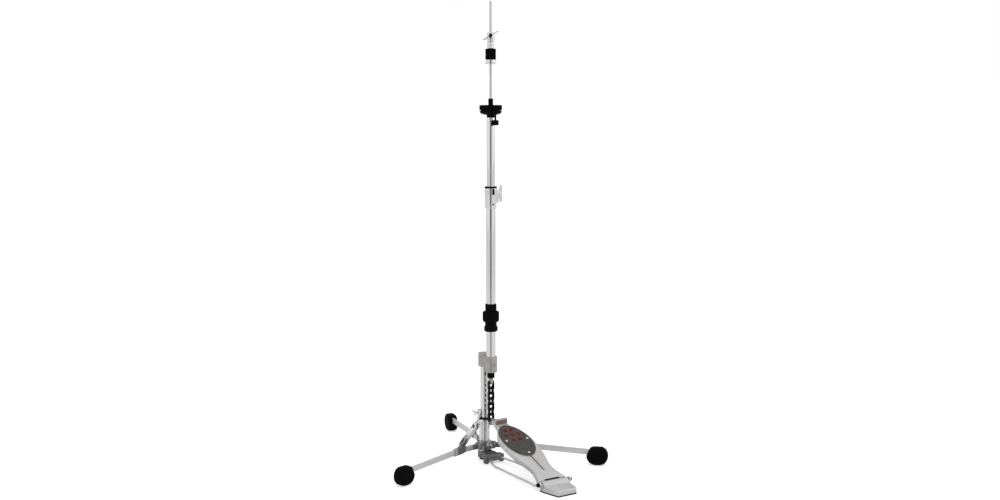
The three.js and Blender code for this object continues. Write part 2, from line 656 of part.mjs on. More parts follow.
function clevis() {
  const tongue = acrossX(stadium([MAIN_Y, CHAIN_TOP], [MAIN_Y, CLEVIS_TOP - 3], TONGUE_R), TONGUE_HALF);
  const nut = pipe(LOWER_ROD_R + 2, 0, CLEVIS_TOP - 4.5, CLEVIS_TOP, 0, MAIN_Y, 6);
  const limit = box([-10, 10], [MAIN_Y - 10, MAIN_Y + 10], [0, CLEVIS_TOP]);
  const pinHole = discX(CHAIN_PIN_R + SLIDING_FIT, -10, 10, MAIN_Y, CHAIN_TOP, 12);
  return join([tongue, nut]).intersect(limit).subtract(pinHole);
}

place("clevis", clevis(), CAST_METAL);

// Roller chain: outer and inner plates take turns, and both ends are outer plates.
function chain() {
  const pieces = [];
  const outer = CHAIN_GAP + CHAIN_PLATE + 0.05;
  for (let i = 0; i <= CHAIN_LINKS; i += 1) {
    const z = CHAIN_TOP - i * CHAIN_PITCH;
    const reach = outer + CHAIN_PLATE + 0.7;
    pieces.push(discX(CHAIN_PIN_R, -reach, reach, MAIN_Y, z, 6));
    if (i > 0 && i < CHAIN_LINKS) pieces.push(discX(CHAIN_ROLLER_R, -CHAIN_GAP, CHAIN_GAP, MAIN_Y, z, 8));
    if (i === CHAIN_LINKS) break;
    const near = i % 2 ? CHAIN_GAP : outer;
    const outline = stadium([MAIN_Y, z - CHAIN_PITCH], [MAIN_Y, z], CHAIN_PLATE_R, 4);
    const half = CHAIN_PLATE / 2;
    pieces.push(acrossX(outline, half, -near - half), acrossX(outline, half, near + half));
  }
  return join(pieces);
}

place("chain", chain(), BLACK_STEEL);

// ---------------------------------------------------------------- clutch

const clutch = new THREE.Group();
clutch.position.set(0, MAIN_Y, 0);
clutch.rotation.z = rad(CLUTCH_TURN);
stand.add(clutch);

const clutchBore = ROD_R + SLIDING_FIT;
const threadBore = CLUTCH_TUBE_R + CLEARANCE;

function clutchBody() {
  const foot = CLUTCH_BODY_FOOT;
  const top = CLUTCH_BODY_TOP;
  const tubeFoot = CLUTCH_FOOT + 0.5;
  const profile = [
    [clutchBore, tubeFoot], [CLUTCH_TUBE_R, tubeFoot], [CLUTCH_TUBE_R, foot], [CLUTCH_BODY_R - 1.5, foot],
    [CLUTCH_BODY_R - 1.5, foot + 5], [CLUTCH_BODY_R, foot + 7], [CLUTCH_BODY_R, top - 1.5],
    [CLUTCH_BODY_R - 1.5, top], [clutchBore, top], [clutchBore, tubeFoot],
  ];
  const screwBore = bar(WING_SCREW_R + CLEARANCE, [0, 0, WING_Z], 12, 180);
  return turned(profile).subtract(screwBore);
}

place("clutch_body", clutchBody(), CHROME, clutch);
const nutsFoot = CLUTCH_FELT_TOP + CLEARANCE;
const nutsTop = CLUTCH_BODY_FOOT - CLEARANCE;
const grooveR = LOCK_NUT_R - 0.8;
const nutProfile = [
  [threadBore, nutsFoot], [LOCK_NUT_R, nutsFoot], [LOCK_NUT_R, LOCK_NUT_GROOVE - 0.5],
  [grooveR, LOCK_NUT_GROOVE - 0.3], [grooveR, LOCK_NUT_GROOVE + 0.3], [LOCK_NUT_R, LOCK_NUT_GROOVE + 0.5],
  [LOCK_NUT_R, nutsTop], [threadBore, nutsTop], [threadBore, nutsFoot],
];
place("clutch_lock_nuts", turned(nutProfile, 0, 0, 12), CHROME, clutch);

const feltHeight = (CLUTCH_FELT_TOP - CLUTCH_NUT_TOP - 2 * CLEARANCE) / 2;
["lower", "upper"].forEach((name, i) => {
  const z0 = CLUTCH_NUT_TOP + CLEARANCE + i * (feltHeight + CLEARANCE);
  const z1 = z0 + feltHeight;
  const edge = CLUTCH_FELT_R - 0.8;
  const profile = [
    [threadBore, z0], [edge, z0], [CLUTCH_FELT_R, z0 + 0.8], [CLUTCH_FELT_R, z1 - 0.8], [edge, z1],
    [threadBore, z1], [threadBore, z0],
  ];
  place(`clutch_felt_${name}`, turned(profile), BLACK_FELT, clutch);
});
place("clutch_bottom_nut", pipe(CLUTCH_NUT_R, threadBore, CLUTCH_FOOT, CLUTCH_NUT_TOP), CHROME, clutch);

function clutchWingScrew() {
  const sizes = { shankR: WING_SCREW_R, shank: 6.5, hubR: 4.5, reach: 15, span: WING_SPAN, thick: 2.6 };
  const screw = wingBolt(sizes).rotate([90 + WING_TILT, 0, 0]).rotate([0, 0, 180]);
  return screw.translate([-clutchBore - 0.6, 0, WING_Z]);
}

place("clutch_wing_screw", clutchWingScrew(), CHROME, clutch);

// ---------------------------------------------------------------- heel plate

function heelTaper(grow, ends) {
  const side = [
    [HEEL_HALF, HINGE_Y + 6.5 + ends], [HEEL_HALF, HINGE_Y - 8],
    [HEEL_END_HALF + grow, HINGE_Y - HEEL_LENGTH - ends],
  ];
  return [...side, ...side.map(([x, y]) => [-x, y]).reverse()];
}

function heelPlate() {
  const foot = MAT + CLEARANCE;
  const outline = [
    [6.5, foot], [-HEEL_LENGTH, foot], [-HEEL_LENGTH, 11.6], [2.1 - HEEL_LENGTH, 14.2], [-12.5, 15.4],
    [-7.5, 19.5], [-4, 22.6], [0, 23.6], [4, 22.4], [6.5, 18.5],
  ].map(([ahead, z]) => [HINGE_Y + ahead, z]);
  const body = acrossX(outline, HEEL_HALF + 5).intersect(raised(heelTaper(0, 1), 0, 40));
  return body.subtract(discX(PIN_R + CLEARANCE, -HEEL_HALF - 5, HEEL_HALF + 5, HINGE_Y, HINGE_Z));
}

place("heel_plate", heelPlate(), SILVER_PAINT);
place("heel_mat", raised(heelTaper(0.3, 0.3), 0, MAT), BLACK_RUBBER);

const pinHalf = ROD_EYE_X + ROD_EYE / 2 + 3;
const nutFrom = ROD_EYE_X + ROD_EYE / 2 + CLEARANCE;
place(
  "heel_pin",
  join([
    discX(PIN_R, -pinHalf, pinHalf, HINGE_Y, HINGE_Z),
    discX(5, -pinHalf - 1, -nutFrom, HINGE_Y, HINGE_Z, 6),
    discX(5, nutFrom, pinHalf + 1, HINGE_Y, HINGE_Z, 6),
  ]),
  BLACK_STEEL,
);

for (const [name, side] of [["left", -1], ["right", 1]]) {
  const x = side * ROD_EYE_X;
  const eye = discX(EYE_R, x - ROD_EYE / 2, x + ROD_EYE / 2, HINGE_Y, HINGE_Z);
  const hole = discX(PIN_R + CLEARANCE, x - ROD_EYE, x + ROD_EYE, HINGE_Y, HINGE_Z);
  place(`radius_rod_${name}`, join([radiusRod(side), eye]).subtract(hole), STEEL);
}

// ---------------------------------------------------------------- footboard

const board = new THREE.Group();
board.position.set(0, HINGE_Y, HINGE_Z);
board.rotation.x = BOARD_SLOPE;
stand.add(board);

function boardOutline(inset, from, to) {
  const edge = new THREE.SplineCurve(BOARD_EDGE.map(([x, y]) => new THREE.Vector2(x, y)));
  const side = edge.getPoints(26).filter((p) => p.y > from && p.y < to);
  const right = side.map((p) => [p.x - inset, p.y]);
  right.unshift([right[0][0], from]);
  right.push([right[right.length - 1][0], to]);
  return [...right, ...right.map(([x, y]) => [-x, y]).reverse()];
}

const oval = (inset, count = 28) =>
  Array.from({ length: count }, (_, i) => {
    const angle = (2 * Math.PI * i) / count;
    const x = (OVAL_HALF[0] - inset) * Math.cos(angle);
    return [x, OVAL_MIDDLE + (OVAL_HALF[1] - inset) * Math.sin(angle)];
  });

const sheetTop = BOARD_TOP + CLEARANCE + SHEET;
const plateFoot = sheetTop + CLEARANCE;
const plateTop = plateFoot + TRACTION_PLATE;
const holeR = SCREW_R + CLEARANCE;
const screwHoles = SCREWS.map(([x, y]) => pipe(holeR, 0, BOARD_TOP - 2.4, plateTop + 1, x, y, 8));
const hingeHole = discX(PIN_R + CLEARANCE, -60, 60, 0, 0);

function footboard() {
  const foot = BOARD_TOP - FLANGE;
  const body = raised(boardOutline(0, BOARD_HEEL, BOARD_TOE), foot, BOARD_TOP);
  const hollow = raised(boardOutline(FLANGE_WALL, 14, BOARD_TOE - 4), foot - 1, BOARD_TOP - DECK);
  const through = [foot - 1, BOARD_TOP + 1];
  const heelGap = box([-HEEL_HALF - 0.5, HEEL_HALF + 0.5], [BOARD_HEEL - 1, 8.6], through);
  const heelSlot = box([-HEEL_SLOT, HEEL_SLOT], [BOARD_HEEL, 12.4], through);
  const toeRise = acrossX([[150, foot - 5], [BOARD_TOE + 9, foot - 5], [BOARD_TOE + 9, foot + 5]], 60);
  return cut(body, [hollow, heelGap, heelSlot, toeRise, hingeHole, ...screwHoles]);
}

place("footboard", footboard(), SILVER_PAINT, board);

const studs = PADS.map(([x, y]) => pipe(PAD_R, 0, sheetTop - 0.2, plateTop + 1, x, y, 10));
const sheet = raised(oval(2.5), BOARD_TOP + CLEARANCE, sheetTop);
place("grip_pads", cut(join([sheet, ...studs]), screwHoles), RED_RUBBER, board);
const padHoles = PADS.map(([x, y]) => pipe(PAD_R + CLEARANCE, 0, sheetTop, plateTop + 1, x, y, 10));
const tractionPlate = cut(raised(oval(0), plateFoot, plateTop), [...screwHoles, ...padHoles]);
place("traction_plate", tractionPlate, TRACTION, board);

SCREWS.forEach(([x, y], i) => {
  const tip = BOARD_TOP - 2;
  const head = plateTop + CLEARANCE;
  const dome = [[3.3, head], [2.6, head + 1.1], [0, head + 1.6]];
  const profile = [[0, tip], [SCREW_R, tip], [SCREW_R, head], ...dome];
  place(`plate_screw_${i + 1}`, turned(profile, x, y, 8), CHROME, board);
});

// Toe stop and a strap that goes over the board's toe and down to an eye for the lowest chain pin.
function toeBracket() {
  const foot = BOARD_TOP + CLEARANCE;
  const strapTop = foot + 1.8;
  const [stopFrom, stopTo] = TOE_STOP;
  const stopTop = foot + TOE_STOP_HEIGHT;
  const lean = 1;
  const face = [[stopFrom - lean, foot], [stopTo, foot], [stopTo, stopTop], [stopFrom + lean, stopTop]];
  const stop = acrossX(face, TOE_STOP_HALF);
  const pad = box([-BRACKET_HALF, BRACKET_HALF], [stopTo - 1, BOARD_TOE - 1], [foot, strapTop]);
  const near = BOARD_TOE + CLEARANCE;
  const [eyeFoot, eyeTop] = [-TOE_PIN_DROP - TONGUE_R + 0.4, -TOE_PIN_DROP + TONGUE_R - 0.4];
  const strap = [
    [BOARD_TOE - 2, foot], [near, foot], [near, -7], [TOE_PIN_Y - 1, eyeFoot], [TOE_PIN_Y + 1, eyeTop],
    [near + 3, 1], [near + 2.5, foot], [near + 1, strapTop], [BOARD_TOE - 2, strapTop],
  ];
  const eye = discX(TONGUE_R, -TONGUE_HALF, TONGUE_HALF, TOE_PIN_Y, -TOE_PIN_DROP);
  const boltHead = pipe(3, 0, foot, strapTop + 3.4, 0, stopTo + 4.2, 6);
  const body = join([stop, pad, acrossX(strap, TONGUE_HALF), eye, boltHead]);
  return body.subtract(discX(CHAIN_PIN_R + PIVOT_ROOM, -20, 20, TOE_PIN_Y, -TOE_PIN_DROP));
}

place("toe_bracket", toeBracket(), CAST_METAL, board);

// ---------------------------------------------------------------- tripod

const legFrames = Object.entries(LEG_TURN).map(([name, turn]) => {
  const group = new THREE.Group();
  group.rotation.z = rad(turn);
  stand.add(group);
  return { name, turn, group };
});
const aroundLegs = (solid) => legFrames.map(({ turn }) => solid.rotate([0, 0, turn]));

const [hingeOut, hingeUp] = LEG_HINGE;

function hub() {
  const ring = pipe(HUB_R, 0, ...HUB_Z);
  const lug = join([
    acrossY(stadium([8, hingeUp], [hingeOut, hingeUp], LEG_EYE_R + 0.6), 8),
    discY(LEG_PIN_R, -10, 10, hingeOut, hingeUp),
  ]);
  const hinge = [hingeOut, hingeUp];
  const ways = [0, LEG_FOLD].map((turn) => {
    const end = [hingeOut + 30 * Math.cos(rad(turn)), hingeUp + 30 * Math.sin(rad(turn))];
    return acrossY(stadium(hinge, end, LEG_EYE_R + 0.7), LINK_HALF + CLEARANCE);
  });
  const room = join(ways).subtract(discY(LEG_PIN_R, -10, 10, ...hinge));
  const bore = pipe(COLUMN_R + SLIDING_FIT, 0, HUB_Z[0] - 1, HUB_Z[1] + 1);
  return cut(join([ring, ...aroundLegs(lug)]), [...aroundLegs(room), bore]);
}

place("hub", hub(), DARK_CAST);
const columnSleeve = pipe(COLUMN_SLEEVE_R, COLUMN_R + SLIDING_FIT, HUB_Z[1] + CLEARANCE, SLEEVE_TOP_Z);
place("column_sleeve", columnSleeve, CHROME);

function collar() {
  const [foot, top] = COLLAR_Z;
  const lug = join([
    acrossY(stadium([10, STRUT_TOP[1]], STRUT_TOP, 5), LUG_HALF),
    discY(STRUT_PIN_R, -8, 8, ...STRUT_TOP),
  ]);
  // The bolt's boss stands over the ring, on a narrow wall outside it.
  const ringEdge = COLLAR_R + 0.5;
  const bossEdge = COLLAR_R + 2;
  const across = [-BOLT_BOSS_HALF, BOLT_BOSS_HALF];
  const boss = join([
    box([6, bossEdge], across, [COLLAR_RING_TOP + CLEARANCE, BOLT_BOSS_Z + 6]),
    box([ringEdge, bossEdge], across, [top - 6, BOLT_BOSS_Z]),
    box([6, bossEdge], across, [top - 6, top]),
  ]);
  const ring = pipe(COLLAR_R, 0, foot, top);
  const body = join([ring, ...aroundLegs(lug), boss.rotate([0, 0, BOLT_BOSS_TURN])]);
  return cut(body, [
    pipe(COLUMN_R + SLIDING_FIT, 0, foot - 1, BOLT_BOSS_Z + 10),
    bar(COLLAR_BOLT_R + CLEARANCE, [0, 0, BOLT_BOSS_Z], 20, BOLT_BOSS_TURN),
  ]);
}

place("collar", collar(), CHROME);
const collarRing = pipe(COLLAR_R - 0.2, COLUMN_R + SLIDING_FIT, COLLAR_Z[1] + CLEARANCE, COLLAR_RING_TOP);
place("collar_ring", collarRing, BLACK_PLASTIC);

const boltStart = COLUMN_R + SLIDING_FIT + 0.3;
const boltSizes = { shankR: COLLAR_BOLT_R, shank: 9, hubR: 3.6, reach: 17, span: 20, thick: 2.6 };
const collarBolt = wingBolt(boltSizes)
  .rotate([70, 0, 0])
  .translate([boltStart, 0, BOLT_BOSS_Z])
  .rotate([0, 0, BOLT_BOSS_TURN]);
place("collar_wing_bolt", collarBolt, CHROME);

// Height of the leg's centre line at a distance from the column.
const barSlope = (BAR_END_Z - SOCKET_Z) / (BAR_END - SOCKET[0]);
const legLine = (out) => SOCKET_Z + barSlope * (out - SOCKET[0]);

// Four-sided outline round the leg's centre line.
function legStrip(from, to, height) {
  const half = height / 2;
  const [start, end] = [legLine(from), legLine(to)];
  return [[from, start - half], [to, end - half], [to, end + half], [from, start + half]];
}

function legLink() {
  const half = LINK_HEIGHT / 2;
  const inner = [
    [hingeOut, hingeUp - half], [SOCKET[0] + 4, SOCKET_Z - half - 0.6], [SOCKET[0] + 4, SOCKET_Z + half],
    [hingeOut, hingeUp + half],
  ];
  const [footOut, footUp] = STRUT_FOOT;
  const lug = [
    [footOut - 9, SOCKET_Z], [footOut + 13, SOCKET_Z], [footOut + 11, footUp - 4],
    [footOut + 3.5, footUp + 3],
    [footOut, footUp + 4.6], [footOut - 3.5, footUp + 3], [footOut - 5.5, footUp - 2],
  ];
  const barRoomEnd = SOCKET[1] + 5;
  const barRoomHeight = BAR_HEIGHT + 2 * CLEARANCE;
  const body = join([
    discY(LEG_EYE_R, -LINK_HALF, LINK_HALF, hingeOut, hingeUp),
    acrossY(inner, LINK_HALF),
    acrossY(legStrip(...SOCKET, SOCKET_HEIGHT), LINK_HALF),
    acrossY(lug, LUG_HALF),
  ]);
  return cut(body, [
    discY(LEG_PIN_R + CLEARANCE, -20, 20, hingeOut, hingeUp),
    discY(STRUT_PIN_R + CLEARANCE, -20, 20, ...STRUT_FOOT),
    acrossY(legStrip(BAR_START - CLEARANCE, barRoomEnd, barRoomHeight), BAR_HALF + CLEARANCE),
  ]);
}

// Channel strut: two cheeks on the lugs, and a web between them along the outer middle.
function strut() {
  const near = LUG_HALF + 0.5;
  const cheekHalf = STRUT_WALL / 2;
  const outline = stadium(STRUT_TOP, STRUT_FOOT, STRUT_R);
  const cheeks = [-1, 1].map((side) => acrossY(outline, cheekHalf, side * (near + cheekHalf)));
  const along = new THREE.Vector2(STRUT_FOOT[0] - STRUT_TOP[0], STRUT_FOOT[1] - STRUT_TOP[1]);
  const length = along.length();
  along.normalize();
  const at = (distance, out) => [
    STRUT_TOP[0] + along.x * distance - along.y * out,
    STRUT_TOP[1] + along.y * distance + along.x * out,
  ];
  const webEnd = length - STRUT_ROOM;
  const under = STRUT_R - STRUT_WALL;
  const web = [at(14, STRUT_R), at(webEnd, STRUT_R), at(webEnd, under), at(14, under)];
  return cut(join([...cheeks, acrossY(web, near + 0.5)]), [
    discY(STRUT_PIN_R + CLEARANCE, -20, 20, ...STRUT_TOP),
    discY(STRUT_PIN_R + CLEARANCE, -20, 20, ...STRUT_FOOT),
  ]);
}

// Rubber foot: the underside is rounded, and the side towards the leg leans.
function rubberFoot() {
  const end = FOOT_IN + FOOT_LENGTH;
  const outline = [
    [FOOT_IN + 2, 12], [FOOT_IN + 8, 4.5], [FOOT_IN + 17, 0.6], [FOOT_IN + 21, 0], [end - 21, 0],
    [end - 16, 0.6],
    [end - 7, 5], [end - 1.5, 13], [end, 20], [end - 1, 29], [end - 5.5, FOOT_HEIGHT - 5],
    [end - 14, FOOT_HEIGHT], [FOOT_IN + 15, FOOT_HEIGHT], [FOOT_IN + 8, FOOT_HEIGHT - 3.5], [FOOT_IN, 21],
  ];
  const socket = legStrip(FOOT_IN - 20, BAR_END + CLEARANCE, BAR_HEIGHT + 2 * CLEARANCE);
  return acrossY(outline, FOOT_HALF, 0, FOOT_EDGE, 2).subtract(acrossY(socket, BAR_HALF + CLEARANCE));
}

for (const { name, group } of legFrames) {
  place(`leg_link_${name}`, legLink(), DARK_CAST, group);
  const legBar = acrossY(legStrip(BAR_START, BAR_END, BAR_HEIGHT), BAR_HALF);
  place(`leg_bar_${name}`, legBar, SATIN_STEEL, group);
  place(`foot_${name}`, rubberFoot(), BLACK_RUBBER, group);
  place(`strut_${name}`, strut(), SATIN_STEEL, group);
}

export default stand;
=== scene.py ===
"""Looks for a hi-hat cymbal stand, built round its fixed frame and laid out as an add-on."""

import json
import math

import bmesh
import bpy
from mathutils import Matrix, Vector


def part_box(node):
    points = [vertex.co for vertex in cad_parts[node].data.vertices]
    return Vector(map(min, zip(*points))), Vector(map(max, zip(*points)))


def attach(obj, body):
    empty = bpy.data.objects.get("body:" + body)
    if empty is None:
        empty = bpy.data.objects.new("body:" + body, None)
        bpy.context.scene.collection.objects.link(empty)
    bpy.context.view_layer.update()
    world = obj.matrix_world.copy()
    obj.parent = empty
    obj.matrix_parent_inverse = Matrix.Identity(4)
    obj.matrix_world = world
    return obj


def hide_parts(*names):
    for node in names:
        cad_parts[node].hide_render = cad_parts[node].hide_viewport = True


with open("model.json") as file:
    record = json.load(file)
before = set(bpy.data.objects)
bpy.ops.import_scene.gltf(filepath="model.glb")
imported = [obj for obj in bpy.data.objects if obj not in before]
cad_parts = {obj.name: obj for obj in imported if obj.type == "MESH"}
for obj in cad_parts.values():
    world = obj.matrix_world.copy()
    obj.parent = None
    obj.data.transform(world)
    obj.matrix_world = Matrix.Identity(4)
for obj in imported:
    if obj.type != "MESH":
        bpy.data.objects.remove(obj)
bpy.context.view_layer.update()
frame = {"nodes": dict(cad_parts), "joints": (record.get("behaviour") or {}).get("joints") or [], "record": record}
RECORD = frame["record"]

bl_info = {
    "name": "Hi-Hat Stand",
    "version": (1, 0, 0),
    "blender": (4, 5, 0),
    "location": "View3D > Sidebar > Hi-Hat Stand",
    "description": "Finished pieces, materials and studio for a hi-hat cymbal stand",
    "category": "Object",
}

MM = 0.001
PER_METRE = 1000.0  # millimetres in a metre
JOINED = 1e-6  # points nearer than this are one point
ROUND = 64  # sides of a turned piece
SMALL_ROUND = 32  # sides of a small turned piece
SHARP_EDGE = math.radians(28)  # a casting's edges that turn by more are rounded

SLOT_OF = {part["node"]: part["material_slot"] for part in RECORD["subparts"]}
BODY_OF = {node: body for body, nodes in RECORD["behaviour"]["bodies"].items() for node in nodes}
JOINTS = {joint["name"]: joint for joint in frame["joints"]}
LEGS = ("left", "right", "rear")


# ------------------------------------------------------------------ places taken from the frame


def joint_point(name):
    return Vector(JOINTS[name]["pos_m"])


def middle_of(node):
    low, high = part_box(node)
    return (low + high) / 2


MAIN = Vector((0, middle_of("lower_tube").y, 0))  # foot of the main tube's axis
COLUMN = Vector((0, 0, 0))  # foot of the base column's axis


def board_space(slope):
    """The footboard's own space: x across, y up the slope from the hinge, z out of the deck."""
    return Matrix.Translation(joint_point("pedal")) @ Matrix.Rotation(slope, 4, "X")


def leg_space(name):
    """A leg's own space: x out from the column, z up."""
    hinge = joint_point(f"leg_{name}_fold")
    return Matrix.Rotation(math.atan2(hinge.y, hinge.x), 4, "Z")


def clutch_space():
    """The clutch's own space: its wing screw points along -x."""
    axis = Vector(JOINTS["clutch_wing_screw_turn"]["axis"])
    return Matrix.Translation(MAIN) @ Matrix.Rotation(math.atan2(-axis.y, -axis.x), 4, "Z")


# ------------------------------------------------------------------ shader graphs


class Wire:
    """One socket of a shader graph. Arithmetic on it adds the Math nodes that carry it out."""

    def __init__(self, tree, socket):
        self.tree = tree
        self.socket = socket

    def _math(self, operation, *values, clamp=False):
        settings = {"operation": operation, "use_clamp": clamp}
        return add_node(self.tree, "ShaderNodeMath", settings, dict(enumerate(values)))

    def __add__(self, other):
        return self._math("ADD", self, other)

    __radd__ = __add__

    def __sub__(self, other):
        return self._math("SUBTRACT", self, other)

    def __rsub__(self, other):
        return self._math("SUBTRACT", other, self)

    def __mul__(self, other):
        return self._math("MULTIPLY", self, other)

    __rmul__ = __mul__

    def __lt__(self, other):
        return self._math("LESS_THAN", self, other)

    def __gt__(self, other):
        return self._math("GREATER_THAN", self, other)

    def __abs__(self):
        return self._math("ABSOLUTE", self)

    def sine(self):
        return self._math("SINE", self)

    def clamped(self):
        return self._math("ADD", self, 0.0, clamp=True)

    def step(self, start, end):
        """0 before start, 1 after end, smooth between them."""
        return add_node(
            self.tree,
            "ShaderNodeMapRange",
            {"interpolation_type": "SMOOTHSTEP"},
            {"Value": self, "From Min": start, "From Max": end},
        )


def add_node(tree, kind, settings=None, inputs=None, output=0):
    """Adds a node, makes its settings, then fills or links its sockets; returns one output."""
    node = tree.nodes.new(kind)
    for key, value in (settings or {}).items():
        setattr(node, key, value)
    for key, value in (inputs or {}).items():
        socket = node.inputs[key]
        if isinstance(value, Wire):
            tree.links.new(value.socket, socket)
        else:
            socket.default_value = value
    return Wire(tree, node.outputs[output]) if node.outputs else None


def blend_colours(tree, factor, first, second):
    inputs = {0: factor, 6: rgba(first), 7: rgba(second)}
    return add_node(tree, "ShaderNodeMix", {"data_type": "RGBA"}, inputs, 2)


def rgba(colour):
    if isinstance(colour, Wire):
        return colour
    return (colour[0], colour[1], colour[2], 1.0)


def shade(colour, amount):
    return tuple(channel * amount for channel in colour[:3])


class Finish:
    """A material under construction, with the surface's own coordinates at hand."""

    def __init__(self, name):
        self.material = bpy.data.materials.new(name)
        self.material.use_nodes = True
        self.tree = self.material.node_tree
        self.tree.nodes.clear()
        self.own = add_node(self.tree, "ShaderNodeAttribute", {"attribute_name": "own"}, output="Vector")

    def axes(self):
        """The three own coordinates in millimetres."""
        split = self.tree.nodes.new("ShaderNodeSeparateXYZ")
        self.tree.links.new(self.own.socket, split.inputs[0])
        return [Wire(self.tree, socket) * PER_METRE for socket in split.outputs]

    def stretched(self, scale):
        inputs = {0: self.own, 1: scale}
        return add_node(self.tree, "ShaderNodeVectorMath", {"operation": "MULTIPLY"}, inputs)

    def noise(self, scale, detail=3.0, rough=0.5, distortion=0.0):
        """Noise from 0 to 1; scale is how many features fit in a millimetre, along each own axis."""
        if isinstance(scale, (int, float)):
            scale = (scale, scale, scale)
        per_metre = tuple(PER_METRE * s for s in scale)
        inputs = {
            "Vector": self.stretched(per_metre),
            "Scale": 1.0,
            "Detail": detail,
            "Roughness": rough,
            "Distortion": distortion,
        }
        return add_node(self.tree, "ShaderNodeTexNoise", None, inputs)

    def cells(self, scale):
        """Distance from the middle of the nearest of a crowd of cells."""
        inputs = {"Vector": self.own, "Scale": PER_METRE * scale}
        return add_node(self.tree, "ShaderNodeTexVoronoi", {"feature": "F1"}, inputs, "Distance")

    def bumps(self, height, depth, strength):
        """Normal from a height field of 0 to 1 that is depth millimetres deep."""
        inputs = {"Strength": strength, "Distance": depth * MM, "Height": height}
        return add_node(self.tree, "ShaderNodeBump", None, inputs)

    def done(self, **values):
        """Connects the surface: keys are socket names with _ for a space."""
        inputs = {key.replace("_", " "): value for key, value in values.items()}
        inputs["Base Color"] = rgba(inputs["Base Color"])
        surface = add_node(self.tree, "ShaderNodeBsdfPrincipled", None, inputs)
        add_node(self.tree, "ShaderNodeOutputMaterial", None, {"Surface": surface})
        return self.material


# ------------------------------------------------------------------ finishes


def chrome(name, colours):
    finish = Finish(name)
    smudge = finish.noise(0.05, 4.0, 0.6)
    polish = finish.noise((2.5, 2.5, 0.05), 2.0)
    tint = blend_colours(finish.tree, smudge, shade(colours.chrome, 0.97), colours.chrome)
    return finish.done(
        Base_Color=tint,
        Metallic=1.0,
        Roughness=0.05 + smudge * 0.05 + polish * 0.03,
        Normal=finish.bumps(polish, 0.004, 0.4),
    )


def bright_steel(name, colours):
    finish = Finish(name)
    drawn = finish.noise((6.0, 6.0, 0.06), 3.0)
    stain = finish.noise(0.04, 5.0, 0.6).step(0.45, 0.75)
    tint = blend_colours(finish.tree, stain, colours.steel, shade(colours.steel, 0.88))
    return finish.done(
        Base_Color=tint,
        Metallic=1.0,
        Roughness=0.2 + drawn * 0.14 + stain * 0.06,
        Normal=finish.bumps(drawn, 0.01, 0.6),
    )


def satin_steel(name, colours):
    finish = Finish(name)
    brushed = finish.noise((0.06, 5.0, 5.0), 4.0, 0.6)
    cloud = finish.noise(0.03, 4.0, 0.6)
    tint = blend_colours(finish.tree, cloud, shade(colours.satin, 0.9), colours.satin)
    return finish.done(
        Base_Color=tint,
        Metallic=0.45,
        Specular_IOR_Level=0.3,
        Roughness=0.3 + brushed * 0.16,
        Normal=finish.bumps(brushed, 0.02, 0.5),
    )


def cast_metal(name, colours):
    finish = Finish(name)
    sand = finish.noise(1.6, 4.0, 0.65)
    cloud = finish.noise(0.09, 4.0, 0.6)
    tint = blend_colours(finish.tree, cloud.step(0.3, 0.7), shade(colours.casting, 0.82), colours.casting)
    return finish.done(
        Base_Color=tint,
        Metallic=0.75,
        Roughness=0.42 + sand * 0.2,
        Normal=finish.bumps(sand, 0.12, 0.7),
    )


def dark_casting(name, colours):
    finish = Finish(name)
    sand = finish.noise(1.3, 4.0, 0.65)
    rub = finish.noise(0.12, 6.0, 0.7).step(0.55, 0.72)
    tint = blend_colours(finish.tree, rub, colours.dark_casting, shade(colours.dark_casting, 2.6))
    return finish.done(
        Base_Color=tint,
        Metallic=0.9,
        Roughness=0.3 + sand * 0.22 - rub * 0.06,
        Normal=finish.bumps(sand, 0.12, 0.7),
    )


def black_steel(name, colours):
    finish = Finish(name)
    oil = finish.noise(0.35, 4.0, 0.6)
    rub = finish.noise(0.9, 5.0, 0.7).step(0.6, 0.75)
    tint = blend_colours(finish.tree, rub, colours.black_steel, shade(colours.black_steel, 5.0))
    return finish.done(
        Base_Color=tint,
        Metallic=0.2,
        Specular_IOR_Level=0.12,
        Roughness=0.3 + oil * 0.2,
        Normal=finish.bumps(oil, 0.05, 0.4),
    )


def black_plastic(name, colours):
    finish = Finish(name)
    texture = finish.noise(3.0, 2.0)
    scuff = finish.noise((0.5, 0.5, 0.12), 6.0, 0.7).step(0.6, 0.8)
    tint = blend_colours(finish.tree, scuff, colours.plastic, shade(colours.plastic, 1.8))
    return finish.done(
        Base_Color=tint,
        Metallic=0.0,
        Specular_IOR_Level=0.03,
        Roughness=0.36 + texture * 0.12 + scuff * 0.12,
        Normal=finish.bumps(texture, 0.05, 0.5),
    )


def rubber(name, colours):
    finish = Finish(name)
    skin = finish.noise(1.8, 4.0, 0.6)
    dust = finish.noise(0.08, 6.0, 0.7).step(0.5, 0.8)
    tint = blend_colours(finish.tree, dust, colours.rubber, shade(colours.rubber, 2.2))
    return finish.done(
        Base_Color=tint,
        Metallic=0.0,
        Roughness=0.62 + dust * 0.2,
        Specular_IOR_Level=0.03,
        Normal=finish.bumps(skin, 0.1, 0.6),
    )


def felt(name, colours):
    finish = Finish(name)
    fibre = finish.noise((2.2, 2.2, 4.5), 6.0, 0.75, 1.5)
    tuft = finish.noise(0.7, 4.0, 0.6)
    tint = blend_colours(finish.tree, fibre, shade(colours.felt, 0.6), shade(colours.felt, 1.5))
    return finish.done(
        Base_Color=tint,
        Metallic=0.0,
        Roughness=0.9 + fibre * 0.1,
        Specular_IOR_Level=0.02,
        Normal=finish.bumps(fibre * 0.7 + tuft * 0.5, 0.35, 0.8),
    )


